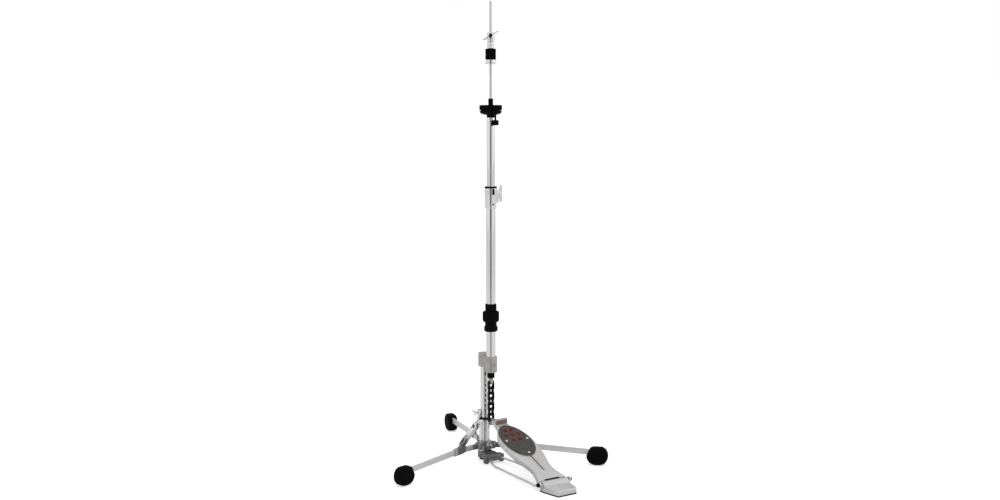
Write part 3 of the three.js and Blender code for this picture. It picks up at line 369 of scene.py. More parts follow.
def silver_paint(finish, colours):
    """Base colour, roughness and normal of cast metal under satin silver paint."""
    flake = finish.cells(2.5)
    cloud = finish.noise(0.03, 5.0, 0.6)
    orange_peel = finish.noise(0.9, 2.0)
    tint = blend_colours(finish.tree, cloud, shade(colours.silver, 0.93), shade(colours.silver, 1.04))
    return tint, 0.34 + cloud * 0.1 + flake * 0.08, finish.bumps(orange_peel, 0.05, 0.5)


def silver_casting(name, colours):
    finish = Finish(name)
    tint, roughness, normal = silver_paint(finish, colours)
    return finish.done(Base_Color=tint, Metallic=0.55, Roughness=roughness, Normal=normal)


def footboard_paint(name, colours):
    """The silver paint with a dark red line down the deck and a fine pale one on each side."""
    finish = Finish(name)
    tint, roughness, normal = silver_paint(finish, colours)
    across, along, _ = finish.axes()
    ragged = finish.noise(1.5, 2.0) * 0.3
    length = (along > 42.0) * (along < 98.0)
    line = (abs(across) < 1.6 + ragged) * length
    thin = (abs(abs(across) - 5.2) < 0.35 + ragged * 0.3) * length
    painted = blend_colours(finish.tree, line, tint, colours.line)
    painted = blend_colours(finish.tree, thin * 0.45, painted, colours.line)
    return finish.done(
        Base_Color=painted,
        Metallic=0.55 - line * 0.5,
        Roughness=roughness,
        Normal=normal,
    )


def traction(name, colours):
    """Dark plate with rows of small raised points."""
    finish = Finish(name)
    across, along, _ = finish.axes()
    rows = (across * 2.0).sine() * (along * 2.0).sine()
    points = rows.step(0.35, 0.8)
    worn = finish.noise(0.06, 5.0, 0.7).step(0.4, 0.7)
    tint = blend_colours(finish.tree, worn, colours.traction, shade(colours.traction, 1.35))
    tint = blend_colours(finish.tree, points * 0.4, tint, shade(colours.traction, 1.9))
    return finish.done(
        Base_Color=tint,
        Metallic=0.0,
        Specular_IOR_Level=0.12,
        Roughness=0.5 + worn * 0.12,
        Normal=finish.bumps(points, 0.3, 0.9),
    )


def red_rubber(name, colours):
    """Red studs on a black sheet: what stands out of the deck is red."""
    finish = Finish(name)
    _, _, up = finish.axes()
    stud = up.step(3.9, 4.2)
    skin = finish.noise(1.8, 4.0, 0.6)
    dust = finish.noise(0.15, 5.0, 0.7).step(0.45, 0.8)
    tint = blend_colours(finish.tree, dust, colours.red, shade(colours.red, 0.7))
    tint = blend_colours(finish.tree, stud, colours.rubber, tint)
    return finish.done(
        Base_Color=tint,
        Metallic=0.0,
        Specular_IOR_Level=0.06,
        Roughness=0.55 + dust * 0.2,
        Normal=finish.bumps(skin, 0.1, 0.6),
    )


def toe_paint(name, colours):
    """Casting whose heel-side face, at the foot of its own y, is painted a dull red."""
    finish = Finish(name)
    sand = finish.noise(1.6, 4.0, 0.65)
    normal = finish.bumps(sand, 0.12, 0.6)
    _, along, up = finish.axes()
    face = (along < 228.5) * (up > 3.4) * (up < 13.0)
    tint = blend_colours(finish.tree, sand, shade(colours.casting, 0.9), colours.casting)
    tint = blend_colours(finish.tree, face * 0.85, tint, colours.toe)
    return finish.done(
        Base_Color=tint,
        Metallic=0.7 - face * 0.5,
        Roughness=0.42 + sand * 0.18,
        Normal=normal,
    )


def leg_casting(name, colours):
    """Dark casting with painted highlights: a bright band between its ends and one at the clip that grips the leg
    bar.
    """
    finish = Finish(name)
    sand = finish.noise(1.3, 4.0, 0.65)
    out, _, _ = finish.axes()
    edge = sand * 2.0
    # painted highlights: the two bright bands, one along the link and one over the leg bar's grip, are painted in,
    # not wear
    arm = (out + edge).step(45.0, 48.0) - (out + edge).step(68.0, 72.0)
    clip = out.step(96.5, 97.5) - out.step(105.5, 106.5)
    bright = (arm + clip).clamped()
    tint = blend_colours(finish.tree, bright, colours.dark_casting, shade(colours.satin, 0.8))
    return finish.done(
        Base_Color=tint,
        Metallic=0.9,
        Roughness=0.34 + sand * 0.2,
        Normal=finish.bumps(sand, 0.1, 0.6),
    )


def hub_casting(name, colours):
    """Dark plated casting, rubbed bright over much of its outside."""
    finish = Finish(name)
    sand = finish.noise(1.3, 4.0, 0.65)
    rub = finish.noise(0.12, 4.0, 0.6).step(0.42, 0.6)
    tint = blend_colours(finish.tree, rub, colours.dark_casting, shade(colours.satin, 0.85))
    return finish.done(
        Base_Color=tint,
        Metallic=0.9,
        Roughness=0.26 + sand * 0.16,
        Normal=finish.bumps(sand, 0.1, 0.6),
    )


def wing_plate(name, colours):
    """Bright plate, black over the end of the wing screw's boss."""
    finish = Finish(name)
    polish = finish.noise(0.4, 3.0)
    _, across, up = finish.axes()
    rise = up - joint_point("clutch_wing_screw_turn").z / MM
    boss = (across * across + rise * rise) < 18.0
    tint = blend_colours(finish.tree, boss, colours.chrome, colours.black_steel)
    return finish.done(
        Base_Color=tint,
        Metallic=1.0 - boss * 0.8,
        Roughness=0.08 + polish * 0.06 + boss * 0.3,
        Normal=finish.bumps(polish, 0.004, 0.4),
    )


def strut_plate(name, colours):
    """Brushed plate that is dark at both ends, round the pins."""
    finish = Finish(name)
    brushed = finish.noise((3.0, 3.0, 0.08), 4.0, 0.6)
    out, _, _ = finish.axes()
    middle = (out + brushed * 1.5).step(35.0, 38.0) - (out + brushed * 1.5).step(66.0, 69.0)
    tint = blend_colours(finish.tree, middle, colours.dark_casting, colours.satin)
    return finish.done(
        Base_Color=tint,
        Metallic=0.95,
        Roughness=0.28 + brushed * 0.16,
        Normal=finish.bumps(brushed, 0.02, 0.5),
    )


FINISHES = {
    "leg_casting": leg_casting,
    "strut_plate": strut_plate,
    "hub_casting": hub_casting,
    "wing_plate": wing_plate,
    "chrome": chrome,
    "bright_steel": bright_steel,
    "satin_steel": satin_steel,
    "cast_metal": cast_metal,
    "dark_casting": dark_casting,
    "black_steel": black_steel,
    "black_plastic": black_plastic,
    "black_rubber": rubber,
    "black_felt": felt,
    "silver_casting": silver_casting,
    "traction": traction,
    "red_rubber": red_rubber,
    "footboard_paint": footboard_paint,
    "toe_paint": toe_paint,
}


def finish_of(name):
    """The material of that name, made when it is first asked for."""
    title = f"stand_{name}"
    found = bpy.data.materials.get(title)
    return found or FINISHES[name](title, bpy.context.scene.stand_colours)


# ------------------------------------------------------------------ mesh tools


def lathe(profile, foot=MAIN, sides=ROUND, reach=None):
    """Spins (radius, height) points about an upright axis. The profile is a closed loop if its last
    point is its first, or else ends on the axis. reach(radius, height, angle) may change a radius."""
    mesh = bmesh.new()
    closed = (Vector(profile[0]) - Vector(profile[-1])).length < 1e-9
    points = profile[:-1] if closed else profile
    rings = []
    for radius, height in points:
        if radius < 1e-7:
            rings.append([mesh.verts.new((foot.x, foot.y, height))])
            continue
        ring = []
        for i in range(sides):
            angle = 2 * math.pi * i / sides
            r = reach(radius, height, angle) if reach else radius
            place = (foot.x + r * math.cos(angle), foot.y + r * math.sin(angle), height)
            ring.append(mesh.verts.new(place))
        rings.append(ring)
    pairs = list(zip(rings, rings[1:] + rings[:1] if closed else rings[1:]))
    for lower, upper in pairs:
        for i in range(sides):
            j = (i + 1) % sides
            if len(lower) == 1 and len(upper) == 1:
                break
            if len(lower) == 1:
                mesh.faces.new((lower[0], upper[j], upper[i]))
            elif len(upper) == 1:
                mesh.faces.new((lower[i], lower[j], upper[0]))
            else:
                mesh.faces.new((lower[i], lower[j], upper[j], upper[i]))
    bmesh.ops.recalc_face_normals(mesh, faces=mesh.faces)
    return mesh


def eased(profile, radius):
    """The profile with its corners rounded off; points on the axis stay."""
    closed = (Vector(profile[0]) - Vector(profile[-1])).length < 1e-9
    points = [Vector(p) for p in (profile[:-1] if closed else profile)]
    count = len(points)
    out = []
    for i, point in enumerate(points):
        if not closed and i in (0, count - 1):
            out.append(tuple(point))
            continue
        before = points[i - 1] - point
        after = points[(i + 1) % count] - point
        turn = math.pi - before.angle(after, math.pi)
        cut = min(radius, 0.45 * before.length, 0.45 * after.length)
        if turn < math.radians(12) or cut < 1e-6:
            out.append(tuple(point))
            continue
        start = point + before.normalized() * cut
        end = point + after.normalized() * cut
        for t in (0, 1 / 3, 2 / 3, 1):
            out.append(tuple(start * (1 - t) ** 2 + point * 2 * t * (1 - t) + end * t * t))
    if closed:
        out.append(out[0])
    return out


def welded(node):
    """An editable copy of a CAD node's mesh with its points joined."""
    mesh = bmesh.new()
    mesh.from_mesh(frame["nodes"][node].data)
    bmesh.ops.remove_doubles(mesh, verts=mesh.verts, dist=JOINED)
    return mesh


def next_to(vert):
    """The points at the far ends of a point's edges."""
    return [edge.other_vert(vert) for edge in vert.link_edges]


def section(node, foot, turn=0.0):
    """The profile of a turned CAD node: its points in the half plane at an angle about its axis."""
    mesh = welded(node)
    across = Vector((math.cos(turn), math.sin(turn), 0))
    side = Vector((-across.y, across.x, 0))
    place = {}
    for vert in mesh.verts:
        from_axis = vert.co - foot
        if abs(from_axis.dot(side)) < 2e-6 and from_axis.dot(across) > -2e-6:
            place[vert] = (max(0.0, from_axis.dot(across)), vert.co.z)
    near = {vert: [n for n in next_to(vert) if n in place] for vert in place}
    ends = [vert for vert in place if len(near[vert]) == 1]
    vert = min(ends or place, key=lambda v: (place[v][1], place[v][0]))
    walk = [vert]
    while True:
        steps = [v for v in near[walk[-1]] if v not in walk]
        if not steps:
            break
        walk.append(steps[0])
    profile = [place[v] for v in walk]
    mesh.free()
    return profile if ends else profile + profile[:1]


def softened(node, edge, segments=2):
    """A copy of a CAD node with rounded edges."""
    mesh = welded(node)
    bmesh.ops.dissolve_limit(mesh, angle_limit=math.radians(1.0), verts=mesh.verts, edges=mesh.edges)
    sharp = [e for e in mesh.edges if e.is_manifold and e.calc_face_angle(0) > SHARP_EDGE]
    bmesh.ops.bevel(
        mesh,
        geom=sharp,
        offset=edge,
        offset_type="OFFSET",
        segments=segments,
        profile=0.5,
        clamp_overlap=True,
        affect="EDGES",
    )
    bmesh.ops.remove_doubles(mesh, verts=mesh.verts, dist=1e-7)
    return mesh


def worked_out(thing):
    """The mesh that an object's curve or modifiers come to; the object is taken away."""
    final = thing.evaluated_get(bpy.context.evaluated_depsgraph_get())
    mesh = bmesh.new()
    mesh.from_mesh(bpy.data.meshes.new_from_object(final))
    bpy.data.objects.remove(thing)
    return mesh


def moulded(node, cell, rounds):
    """A copy of a CAD node with the flowing edges of a moulding or casting."""
    data = bpy.data.meshes.new("moulding")
    welded(node).to_mesh(data)
    thing = bpy.data.objects.new("moulding", data)
    bpy.context.scene.collection.objects.link(thing)
    remesh = thing.modifiers.new("remesh", "REMESH")
    remesh.mode = "VOXEL"
    remesh.voxel_size = cell
    smooth = thing.modifiers.new("smooth", "SMOOTH")
    smooth.factor = 0.5
    smooth.iterations = rounds
    return worked_out(thing)


def sweep(points, radius, sides=16, steps=12):
    """Round wire along a smooth curve through the points."""
    curve = bpy.data.curves.new("wire", "CURVE")
    curve.dimensions = "3D"
    curve.bevel_depth = radius
    curve.bevel_resolution = sides // 4
    curve.resolution_u = steps
    curve.use_fill_caps = True
    spline = curve.splines.new("BEZIER")
    spline.bezier_points.add(len(points) - 1)
    for knot, point in zip(spline.bezier_points, points):
        knot.co = point
        knot.handle_left_type = knot.handle_right_type = "AUTO"
    thing = bpy.data.objects.new("wire", curve)
    bpy.context.scene.collection.objects.link(thing)
    mesh = worked_out(thing)
    bmesh.ops.remove_doubles(mesh, verts=mesh.verts, dist=JOINED)
    return mesh


def merged(*meshes):
    """Several editable meshes as one."""
    whole = bmesh.new()
    for mesh in meshes:
        data = bpy.data.meshes.new("part")
        mesh.to_mesh(data)
        mesh.free()
        whole.from_mesh(data)
        bpy.data.meshes.remove(data)
    return whole


def moved(mesh, matrix):
    bmesh.ops.transform(mesh, matrix=matrix, verts=mesh.verts)
    return mesh


def piece(name, mesh, *nodes, finish=None, space=None, body=None, slot=None, sharp=35.0):
    """Makes a mesh the finished form of CAD nodes: it rides on their body, takes their place and
    their finish, and keeps coordinates in its own space for its material."""
    data = bpy.data.meshes.new(name)
    for face in mesh.faces:
        face.smooth = True
    for edge in mesh.edges:
        edge.smooth = edge.calc_face_angle(0) < math.radians(sharp)
    mesh.to_mesh(data)
    mesh.free()
    inverse = (space or Matrix.Translation(MAIN)).inverted()
    own = data.attributes.new("own", "FLOAT_VECTOR", "POINT")
    coordinates = [c for vert in data.vertices for c in inverse @ vert.co]
    own.data.foreach_set("vector", coordinates)
    thing = bpy.data.objects.new(name, data)
    bpy.context.scene.collection.objects.link(thing)
    slot = slot or SLOT_OF[nodes[0]]
    data.materials.append(finish_of(finish or slot))
    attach(thing, body or BODY_OF[nodes[0]])
    if nodes:
        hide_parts(*nodes)
    return thing


def boxed(place, size):
    """A small block with the given edges."""
    mesh = bmesh.new()
    bmesh.ops.create_cube(mesh, size=1.0, matrix=place @ Matrix.Diagonal((*size, 1.0)))
    return mesh


def detail(name, mesh, body, slot):
    """A small piece that the frame has no node for; it rides on a body."""
    return piece(name, mesh, body=body, slot=slot)


def turned_piece(node, foot=MAIN, turn=0.0, edge=0.3 * MM, sides=ROUND):
    """A turned CAD node spun again with more sides and eased corners."""
    mesh = lathe(eased(section(node, foot, turn), edge), foot, sides)
    return piece(f"{node}_turned", mesh, node, space=Matrix.Translation(foot))


# ------------------------------------------------------------------ settings


def colour_property(name, description, colour):
    return bpy.props.FloatVectorProperty(
        name=name,
        description=description,
        subtype="COLOR",
        size=3,
        min=0.0,
        max=1.0,
        default=colour,
    )


def length_property(name, description, metres):
    return bpy.props.FloatProperty(
        name=name,
        description=description,
        unit="LENGTH",
        min=0.0,
        default=metres,
    )


class StandColours(bpy.types.PropertyGroup):
    """Colours of the stand's finishes."""

    chrome: colour_property("Chrome", "Polished plate on tubes, clamps and screws", (0.85, 0.855, 0.86))
    steel: colour_property("Steel", "Bright drawn steel of the rods", (0.76, 0.76, 0.77))
    satin: colour_property("Satin steel", "Brushed plate on leg bars and struts", (0.76, 0.76, 0.76))
    casting: colour_property("Casting", "Clear coated grey casting", (0.5, 0.49, 0.47))
    dark_casting: colour_property("Dark casting", "Dark plated base and hub", (0.2, 0.2, 0.205))
    black_steel: colour_property("Black steel", "Chain and hinge pin", (0.006, 0.006, 0.007))
    plastic: colour_property("Plastic", "Black moulded plastic", (0.004, 0.004, 0.004))
    rubber: colour_property("Rubber", "Black rubber feet", (0.0035, 0.0035, 0.0035))
    felt: colour_property("Felt", "Black felt washers", (0.004, 0.004, 0.004))
    silver: colour_property("Silver paint", "Footboard and heel plate", (0.66, 0.66, 0.66))
    traction: colour_property("Traction plate", "Dark oval plate on the footboard", (0.075, 0.07, 0.064))
    red: colour_property("Red rubber", "Grip pads", (0.2, 0.017, 0.017))
    line: colour_property("Painted line", "Line down the footboard", (0.11, 0.004, 0.008))
    toe: colour_property("Toe block face", "Dull red face of the toe block", (0.2, 0.1, 0.09))


class StandSizes(bpy.types.PropertyGroup):
    """Sizes of details that the frame does not give."""

    slope: bpy.props.FloatProperty(
        name="Board slope",
        description="Rise of the footboard at rest",
        subtype="ANGLE",
        default=math.radians(20.76),
    )
    soft_edge: length_property("Soft edge", "Rounding of a turned piece's corners", 0.3 * MM)
    cast_edge: length_property("Cast edge", "Rounding of a casting's edges", 0.6 * MM)
    camera_at: bpy.props.FloatVectorProperty(
        name="Camera",
        description="Where the camera stands",
        subtype="TRANSLATION",
        default=(-1.583, -2.4959, 0.8744),
    )
    camera_looks: bpy.props.FloatVectorProperty(
        name="View direction",
        description="Where the camera looks",
        subtype="DIRECTION",
        default=(0.5417, 0.831, -0.126),
    )
    lens: bpy.props.FloatProperty(name="Lens", description="Focal length in millimetres", default=46.12)


# ------------------------------------------------------------------ operators


class StandOperator:
    """What every operator of the stand shares."""

    bl_options = {"REGISTER", "UNDO"}

    def execute(self, context):
        self.make(context.scene.stand_sizes)
        return {"FINISHED"}


class STAND_OT_studio(StandOperator, bpy.types.Operator):
    """Camera, lights, sky and floor"""

    bl_idname = "stand.studio"
    bl_label = "Studio"

    def make(self, sizes):
        self.camera(sizes)
        self.floor()
        self.sky(Vector(sizes.camera_looks))
        self.dark_card(Vector(sizes.camera_looks))
        self.lamp("key_light", (-1.1, -1.6, 2.1), 1.1, 5.0)
        self.lamp("fill_light", (1.9, -0.9, 1.4), 1.4, 2.5)
        self.lamp("back_light", (0.4, 1.8, 1.8), 1.2, 3.0)
        bpy.context.scene.view_settings.view_transform = "Standard"

    def camera(self, sizes):
        data = bpy.data.cameras.new("camera")
        data.sensor_width = 36.0
        data.lens = sizes.lens
        data.clip_start = 0.05
        camera = bpy.data.objects.new("camera", data)
        camera.location = sizes.camera_at
        camera.rotation_euler = Vector(sizes.camera_looks).to_track_quat("-Z", "Y").to_euler()
        bpy.context.scene.collection.objects.link(camera)
        bpy.context.scene.camera = camera

    def floor(self):
        mesh = bmesh.new()
        bmesh.ops.create_grid(mesh, x_segments=1, y_segments=1, size=30.0)
        data = bpy.data.meshes.new("floor")
        mesh.to_mesh(data)
        floor = bpy.data.objects.new("floor", data)
        bpy.context.scene.collection.objects.link(floor)
        finish = Finish("floor")
        seen = add_node(finish.tree, "ShaderNodeLightPath", output="Is Camera Ray")
        glow = blend_colours(finish.tree, seen, (0.0, 0.0, 0.0), (1.0, 1.0, 1.0))
        paper = finish.done(
            Base_Color=(0.86, 0.86, 0.86),
            Roughness=0.9,
            Specular_IOR_Level=0.0,
            Emission_Color=glow,
            Emission_Strength=0.5,
        )
        data.materials.append(paper)

    def dark_card(self, looks):
        """A dark fan on the floor on the viewer's side, which only reflections see. It carries the
        dark band of the sky down to the foot of the polished tubes."""
        middle = math.atan2(-looks.y, -looks.x)
        spread = math.radians(31)
        reach = 29.0
        lift = 0.6 * MM
        steps = 12
        mesh = bmesh.new()
        start = mesh.verts.new((MAIN.x, MAIN.y, lift))
        rim = []
        for i in range(steps + 1):
            angle = middle + spread * (2 * i / steps - 1)
            x, y = reach * math.cos(angle), MAIN.y + reach * math.sin(angle)
            rim.append(mesh.verts.new((x, y, lift)))
        for first, second in zip(rim, rim[1:]):
            mesh.faces.new((start, first, second))
        data = bpy.data.meshes.new("dark_card")
        mesh.to_mesh(data)
        own = data.attributes.new("own", "FLOAT_VECTOR", "CORNER")
        values = []
        for face in data.polygons:
            near = abs(2 * face.index / steps - 1)
            far = abs(2 * (face.index + 1) / steps - 1)
            for vertex in face.vertices:
                share = (near + far) / 2 if vertex == 0 else abs(2 * (vertex - 1) / steps - 1)
                values.extend((share * MM, reach * MM if vertex else 0.0, 0.0))
        own.data.foreach_set("vector", values)
        finish = Finish("dark_card")
        share, metres, _ = finish.axes()
        card_paint = finish.done(
            Base_Color=(0.03, 0.03, 0.03),
            Roughness=1.0,
            Specular_IOR_Level=0.0,
            Alpha=(metres.step(1.6, 2.8) * 0.14 + 0.7) * (1 - share.step(0.2, 0.85)),
        )
        data.materials.append(card_paint)
        card = bpy.data.objects.new("dark_card", data)
        bpy.context.scene.collection.objects.link(card)
        card.visible_camera = False
        card.visible_diffuse = False
        card.visible_shadow = False
        card.visible_transmission = False

    def sky(self, looks):
        """White to the eye; in reflections, bright with a dark band on the viewer's side."""
        world = bpy.data.worlds.new("studio")
        bpy.context.scene.world = world
        world.use_nodes = True
        tree = world.node_tree
        tree.nodes.clear()
        direction = add_node(tree, "ShaderNodeTexCoord", output="Generated")
        flat = Vector((looks.x, looks.y, 0)).normalized()

        def facing(vector):
            inputs = {0: direction, 1: vector}
            return add_node(tree, "ShaderNodeVectorMath", {"operation": "DOT_PRODUCT"}, inputs, "Value")

        near = facing(-flat)
        band = near.step(0.86, 0.985)
        edge = facing(flat).step(0.55, 0.95)
        glow = 0.84 - band * 0.68 - edge * 0.52
        inside = add_node(tree, "ShaderNodeBackground", None, {"Color": (1, 1, 1, 1), "Strength": glow})
        seen = add_node(tree, "ShaderNodeBackground", None, {"Color": (1, 1, 1, 1), "Strength": 1.0})
        camera_ray = add_node(tree, "ShaderNodeLightPath", output="Is Camera Ray")
        mixed = add_node(tree, "ShaderNodeMixShader", None, {0: camera_ray, 1: inside, 2: seen})
        add_node(tree, "ShaderNodeOutputWorld", None, {"Surface": mixed})

    def lamp(self, name, place, size, power):
        data = bpy.data.lights.new(name, "AREA")
        data.shape = "DISK"
        data.size = size
        data.energy = power
        lamp = bpy.data.objects.new(name, data)
        lamp.location = place
        aim = Vector((0, 0, 0.4)) - Vector(place)
        lamp.rotation_euler = aim.to_track_quat("-Z", "Y").to_euler()
        bpy.context.scene.collection.objects.link(lamp)


class STAND_OT_tubes(StandOperator, bpy.types.Operator):
    """Chromed tubes of the column and the main tube"""

    bl_idname = "stand.tubes"
    bl_label = "Tubes"

    def make(self, sizes):
        for node, foot in (
            ("base_column", COLUMN),
            ("column_sleeve", COLUMN),
            ("lower_tube", MAIN),
            ("upper_tube", MAIN),
        ):
            turned_piece(node, foot, edge=sizes.soft_edge)


class STAND_OT_base(StandOperator, bpy.types.Operator):
    """Base block and the column's foot"""

    bl_idname = "stand.base"
    bl_label = "Base"

    def make(self, sizes):
        piece("base_block_cast", softened("base_block", sizes.cast_edge), "base_block", space=Matrix())
        turned_piece("column_foot", COLUMN, edge=0.8 * MM)


class STAND_OT_tube_clamp(StandOperator, bpy.types.Operator):
    """Casting that joins the two tubes"""

    bl_idname = "stand.tube_clamp"
    bl_label = "Tube Clamp"

    def make(self, sizes):
        piece("tube_clamp_cast", softened("tube_clamp", 1.0 * MM, 3), "tube_clamp")


class STAND_OT_adjuster(StandOperator, bpy.types.Operator):
    """Spring tension adjuster"""

    bl_idname = "stand.adjuster"
    bl_label = "Tension Adjuster"

    def make(self, sizes):
        turned_piece("adjuster_collar", edge=1.0 * MM)
        turned_piece("adjuster_sleeve", edge=0.5 * MM)
        turned_piece("spring_seat", edge=0.4 * MM)
        self.ring()
        frame["nodes"]["return_spring"].data.materials.clear()
        frame["nodes"]["return_spring"].data.materials.append(finish_of("bright_steel"))

    def ring(self):
        low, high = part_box("tension_ring")
        outer = (high.x - low.x) / 2
        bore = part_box("lower_tube")[1].x + 0.45 * MM
        ribs = 24
        depth = 1.2 * MM

        def reach(radius, _, angle):
            if radius < outer - 3 * MM:
                return radius
            return radius - depth * (0.5 - 0.5 * math.cos(ribs * angle)) ** 0.6

        profile = [
            (bore, low.z),
            (outer - 2.2 * MM, low.z),
            (outer - 0.4 * MM, low.z + 2.4 * MM),
            (outer, low.z + 4 * MM),
            (outer, high.z - 3 * MM),
            (outer - 0.4 * MM, high.z - 1.6 * MM),
            (outer - 1.4 * MM, high.z),
            (bore, high.z),
            (bore, low.z),
        ]
        piece("tension_ring_ribbed", lathe(eased(profile, 0.5 * MM), MAIN, 192, reach), "tension_ring")


class STAND_OT_height_clamp(StandOperator, bpy.types.Operator):
    """Height clamp with its bush and wing bolt"""

    bl_idname = "stand.height_clamp"
    bl_label = "Height Clamp"

    def make(self, sizes):
        piece("height_clamp_plated", softened("height_clamp", 0.4 * MM), "height_clamp")
        self.front()
        turned_piece("clamp_bush", edge=0.5 * MM)
        bolt = moulded("height_wing_bolt", 0.4 * MM, 6)
        piece("height_wing_bolt_plated", bolt, "height_wing_bolt")

    def front(self):
        """The slot, the rivet and the catch on the clamp's side towards the pedal."""
        low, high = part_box("height_clamp")
        shell = (high.y - low.y) / 2
        taper = 0.0415
        slot_side = -123.1  # degrees round the tube
        catch_side = -99.0

        def against(angle, below, size, sink):
            """A block that is let into the shell, at an angle and at a depth below its top."""
            turn = Matrix.Rotation(math.radians(angle), 4, "Z")
            centre = Matrix.Translation(MAIN + Vector((0, 0, high.z - below)))
            out = Matrix.Translation((shell - taper * below - sink, 0, 0))
            return boxed(centre @ turn @ out, size)

        slot = against(slot_side, 29 * MM, (1.4 * MM, 1.3 * MM, 20 * MM), 0.2 * MM)
        catch = against(catch_side, 7.5 * MM, (3.0 * MM, 4.6 * MM, 14 * MM), -0.1 * MM)
        rivet = against(catch_side, 37 * MM, (2.0 * MM, 3.4 * MM, 3.4 * MM), 0.3 * MM)
        detail("clamp_slot", merged(slot, catch, rivet), "frame", "black_plastic")


class STAND_OT_cymbal_seat(StandOperator, bpy.types.Operator):
    """Cymbal seat with its felt, sleeve and tilt screw"""

    bl_idname = "stand.cymbal_seat"
    bl_label = "Cymbal Seat"

    def make(self, sizes):
        piece("seat_cup_moulded", softened("seat_cup", 0.5 * MM), "seat_cup")
        turned_piece("seat_sleeve", edge=0.5 * MM, sides=SMALL_ROUND)
        turned_piece("seat_washer", edge=0.2 * MM)
        felt_pad = turned_piece("seat_felt", edge=1.4 * MM)
        piece("tilt_screw_moulded", softened("tilt_screw", 0.7 * MM, 3), "tilt_screw")


class STAND_OT_pull_rod(StandOperator, bpy.types.Operator):
    """Pull rod, its coupling, guide bush and clevis"""

    bl_idname = "stand.pull_rod"
    bl_label = "Pull Rod"

    def make(self, sizes):
        turned_piece("upper_rod", sides=SMALL_ROUND)
        turned_piece("rod_coupling")
        turned_piece("lower_rod", sides=SMALL_ROUND)
        turned_piece("guide_bush", edge=0.6 * MM)
        piece("clevis_cast", softened("clevis", 0.4 * MM), "clevis")


class STAND_OT_chain(StandOperator, bpy.types.Operator):
    """Drive chain"""

    bl_idname = "stand.chain"
    bl_label = "Chain"

    def make(self, sizes):
        piece("chain_links", softened("chain", 0.2 * MM), "chain")


class STAND_OT_clutch(StandOperator, bpy.types.Operator):
    """Clutch with its nuts, felts and wing screw"""

    bl_idname = "stand.clutch"
    bl_label = "Clutch"

    def make(self, sizes):
        space = clutch_space()
        turn = space.to_euler().z
        piece("clutch_body_turned", softened("clutch_body", 0.3 * MM), "clutch_body", space=space)
        turned_piece("clutch_bottom_nut", turn=turn, edge=0.5 * MM)
        nuts = softened("clutch_lock_nuts", 0.3 * MM)
        piece("clutch_lock_nuts_cut", nuts, "clutch_lock_nuts", space=space)
        for node in ("clutch_felt_lower", "clutch_felt_upper"):
            turned_piece(node, turn=turn, edge=1.2 * MM)
        wing = moulded("clutch_wing_screw", 0.4 * MM, 5)
        piece("clutch_wing_screw_plated", wing, "clutch_wing_screw", space=space, finish="wing_plate")


class STAND_OT_heel(StandOperator, bpy.types.Operator):
    """Heel plate, its mat and hinge pin, and the two radius rods"""

    bl_idname = "stand.heel"
    bl_label = "Heel"

    def make(self, sizes):
        piece("heel_plate_cast", softened("heel_plate", 1.0 * MM, 3), "heel_plate", space=Matrix())
        piece("heel_mat_cut", softened("heel_mat", 0.4 * MM), "heel_mat", space=Matrix())
        piece("heel_pin_cut", softened("heel_pin", 0.4 * MM), "heel_pin", space=Matrix())
        self.screw()
        self.rods()

    def screw(self):
        """The head of the screw that holds the mat to the plate."""
        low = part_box("heel_plate")[0]
        place = Matrix.Translation((0, low.y + 34.0 * MM, low.z + 12.5 * MM))
        rim = 1.9 * MM
        profile = [(0, -1 * MM), (rim, -1 * MM), (rim, 0.2 * MM), (0, 0.4 * MM)]
        head = lathe(eased(profile, 0.2 * MM), COLUMN, 16)
        detail("heel_screw", moved(head, place), "frame", "black_steel")

    def rods(self):
        """Each rod's way: to the side, out from the main tube, above the floor, in millimetres."""
        run = ((15, 12, 13), (17, 20, 12), (28.5, 57.4, 8.5), (30.5, 147.5, 8), (36.2, 236, 10.2))
        hinge = joint_point("pedal")
        eye_profile = [(3.3 * MM, -2 * MM), (6.4 * MM, -2 * MM), (6.4 * MM, 2 * MM), (3.3 * MM, 2 * MM)]
        for name, side in (("left", -1), ("right", 1)):
            node = f"radius_rod_{name}"
            low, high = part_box(node)
            eye_x = (low.x + 2 * MM) if side < 0 else (high.x - 2 * MM)
            stops = [Vector((side * x * MM, MAIN.y - out * MM, z * MM)) for x, out, z in run]
            stops.append(Vector((eye_x, hinge.y + 5.2 * MM, hinge.z - 1.5 * MM)))
            points = []
            for a, b in zip(stops, stops[1:]):
                points.extend(a.lerp(b, t) for t in (0.0, 0.3, 0.7))
            points.append(stops[-1])
            eye = lathe(eased(eye_profile + eye_profile[:1], 0.4 * MM), COLUMN, SMALL_ROUND)
            place = Matrix.Translation((eye_x, hinge.y, hinge.z)) @ Matrix.Rotation(math.pi / 2, 4, "Y")
            rod = merged(sweep(points, 2.3 * MM), moved(eye, place))
            piece(f"{node}_bent", rod, node, space=Matrix(), sharp=50.0)


class STAND_OT_footboard(StandOperator, bpy.types.Operator):
    """Footboard and the toe bracket on it"""

    bl_idname = "stand.footboard"
    bl_label = "Footboard"

    def make(self, sizes):
        space = board_space(sizes.slope)
        board = softened("footboard", 0.8 * MM, 3)
        piece("footboard_cast", board, "footboard", finish="footboard_paint", space=space)
        slot = boxed(space @ Matrix.Translation((0, 10.6 * MM, 1.9 * MM)), (38.4 * MM, 3.2 * MM, 0.6 * MM))
        detail("heel_slot", slot, "footboard", "black_plastic")
        bracket = softened("toe_bracket", 0.5 * MM, 2)
        piece("toe_bracket_cast", bracket, "toe_bracket", finish="toe_paint", space=space)


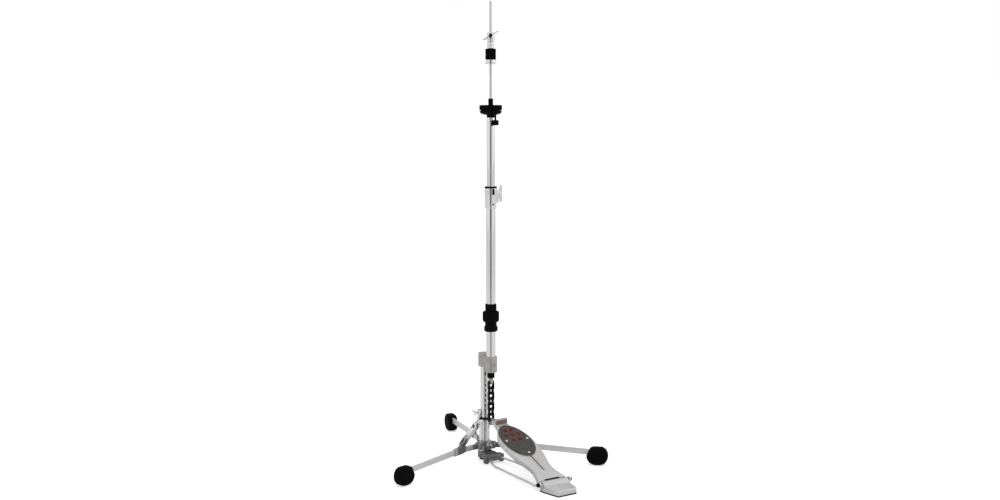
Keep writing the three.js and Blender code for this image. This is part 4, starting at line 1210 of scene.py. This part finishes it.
class STAND_OT_traction(StandOperator, bpy.types.Operator):
    """Traction plate with its grip pads and screws"""

    bl_idname = "stand.traction"
    bl_label = "Traction Plate"

    def make(self, sizes):
        space = board_space(sizes.slope)
        piece("traction_plate_formed", softened("traction_plate", 0.5 * MM), "traction_plate", space=space)
        piece("grip_pads_moulded", softened("grip_pads", 0.5 * MM), "grip_pads", space=space)
        for i in (1, 2, 3):
            node = f"plate_screw_{i}"
            piece(f"{node}_turned", softened(node, 0.2 * MM), node, space=space)


class STAND_OT_tripod(StandOperator, bpy.types.Operator):
    """Tripod hub and the sliding collar"""

    bl_idname = "stand.tripod"
    bl_label = "Tripod"

    def make(self, sizes):
        piece("hub_cast", softened("hub", 0.35 * MM), "hub", space=Matrix(), finish="hub_casting")
        piece("collar_plated", softened("collar", 0.35 * MM), "collar", space=Matrix())
        turned_piece("collar_ring", COLUMN, edge=0.4 * MM)
        bolt = moulded("collar_wing_bolt", 0.35 * MM, 5)
        piece("collar_wing_bolt_plated", bolt, "collar_wing_bolt", space=Matrix())


class STAND_OT_legs(StandOperator, bpy.types.Operator):
    """Leg links, leg bars, rubber feet and struts"""

    bl_idname = "stand.legs"
    bl_label = "Legs"

    def make(self, sizes):
        for name in LEGS:
            space = leg_space(name)
            link = moulded(f"leg_link_{name}", 0.55 * MM, 4)
            piece(f"leg_link_{name}_cast", link, f"leg_link_{name}", space=space, finish="leg_casting")
            leg = softened(f"leg_bar_{name}", 0.7 * MM, 3)
            piece(f"leg_bar_{name}_brushed", leg, f"leg_bar_{name}", space=space)
            strut = softened(f"strut_{name}", 0.3 * MM)
            piece(f"strut_{name}_brushed", strut, f"strut_{name}", space=space, finish="strut_plate")
            foot = moulded(f"foot_{name}", 1.2 * MM, 12)
            piece(f"foot_{name}_moulded", foot, f"foot_{name}", space=space, sharp=60.0)


PIECE_OPERATORS = (
    STAND_OT_tubes,
    STAND_OT_base,
    STAND_OT_tube_clamp,
    STAND_OT_adjuster,
    STAND_OT_height_clamp,
    STAND_OT_cymbal_seat,
    STAND_OT_pull_rod,
    STAND_OT_chain,
    STAND_OT_clutch,
    STAND_OT_heel,
    STAND_OT_footboard,
    STAND_OT_traction,
    STAND_OT_tripod,
    STAND_OT_legs,
)


class STAND_PT_panel(bpy.types.Panel):
    """Lists the stand's settings and the operators that make it"""

    bl_label = "Hi-Hat Stand"
    bl_space_type = "VIEW_3D"
    bl_region_type = "UI"
    bl_category = "Hi-Hat Stand"

    def draw(self, context):
        layout = self.layout
        for settings in (context.scene.stand_sizes, context.scene.stand_colours):
            box = layout.box()
            for key in settings.__annotations__:
                box.prop(settings, key)
        for operator in (STAND_OT_studio, *PIECE_OPERATORS):
            layout.operator(operator.bl_idname)


CLASSES = (StandColours, StandSizes, STAND_OT_studio, *PIECE_OPERATORS, STAND_PT_panel)


def register():
    for cls in CLASSES:
        bpy.utils.register_class(cls)
    bpy.types.Scene.stand_colours = bpy.props.PointerProperty(type=StandColours)
    bpy.types.Scene.stand_sizes = bpy.props.PointerProperty(type=StandSizes)


def unregister():
    del bpy.types.Scene.stand_sizes
    del bpy.types.Scene.stand_colours
    for cls in reversed(CLASSES):
        bpy.utils.unregister_class(cls)


def main():
    register()
    for operator in (STAND_OT_studio, *PIECE_OPERATORS):
        group, name = operator.bl_idname.split(".")
        getattr(getattr(bpy.ops, group), name)()


if __name__ == "__main__":
    main()
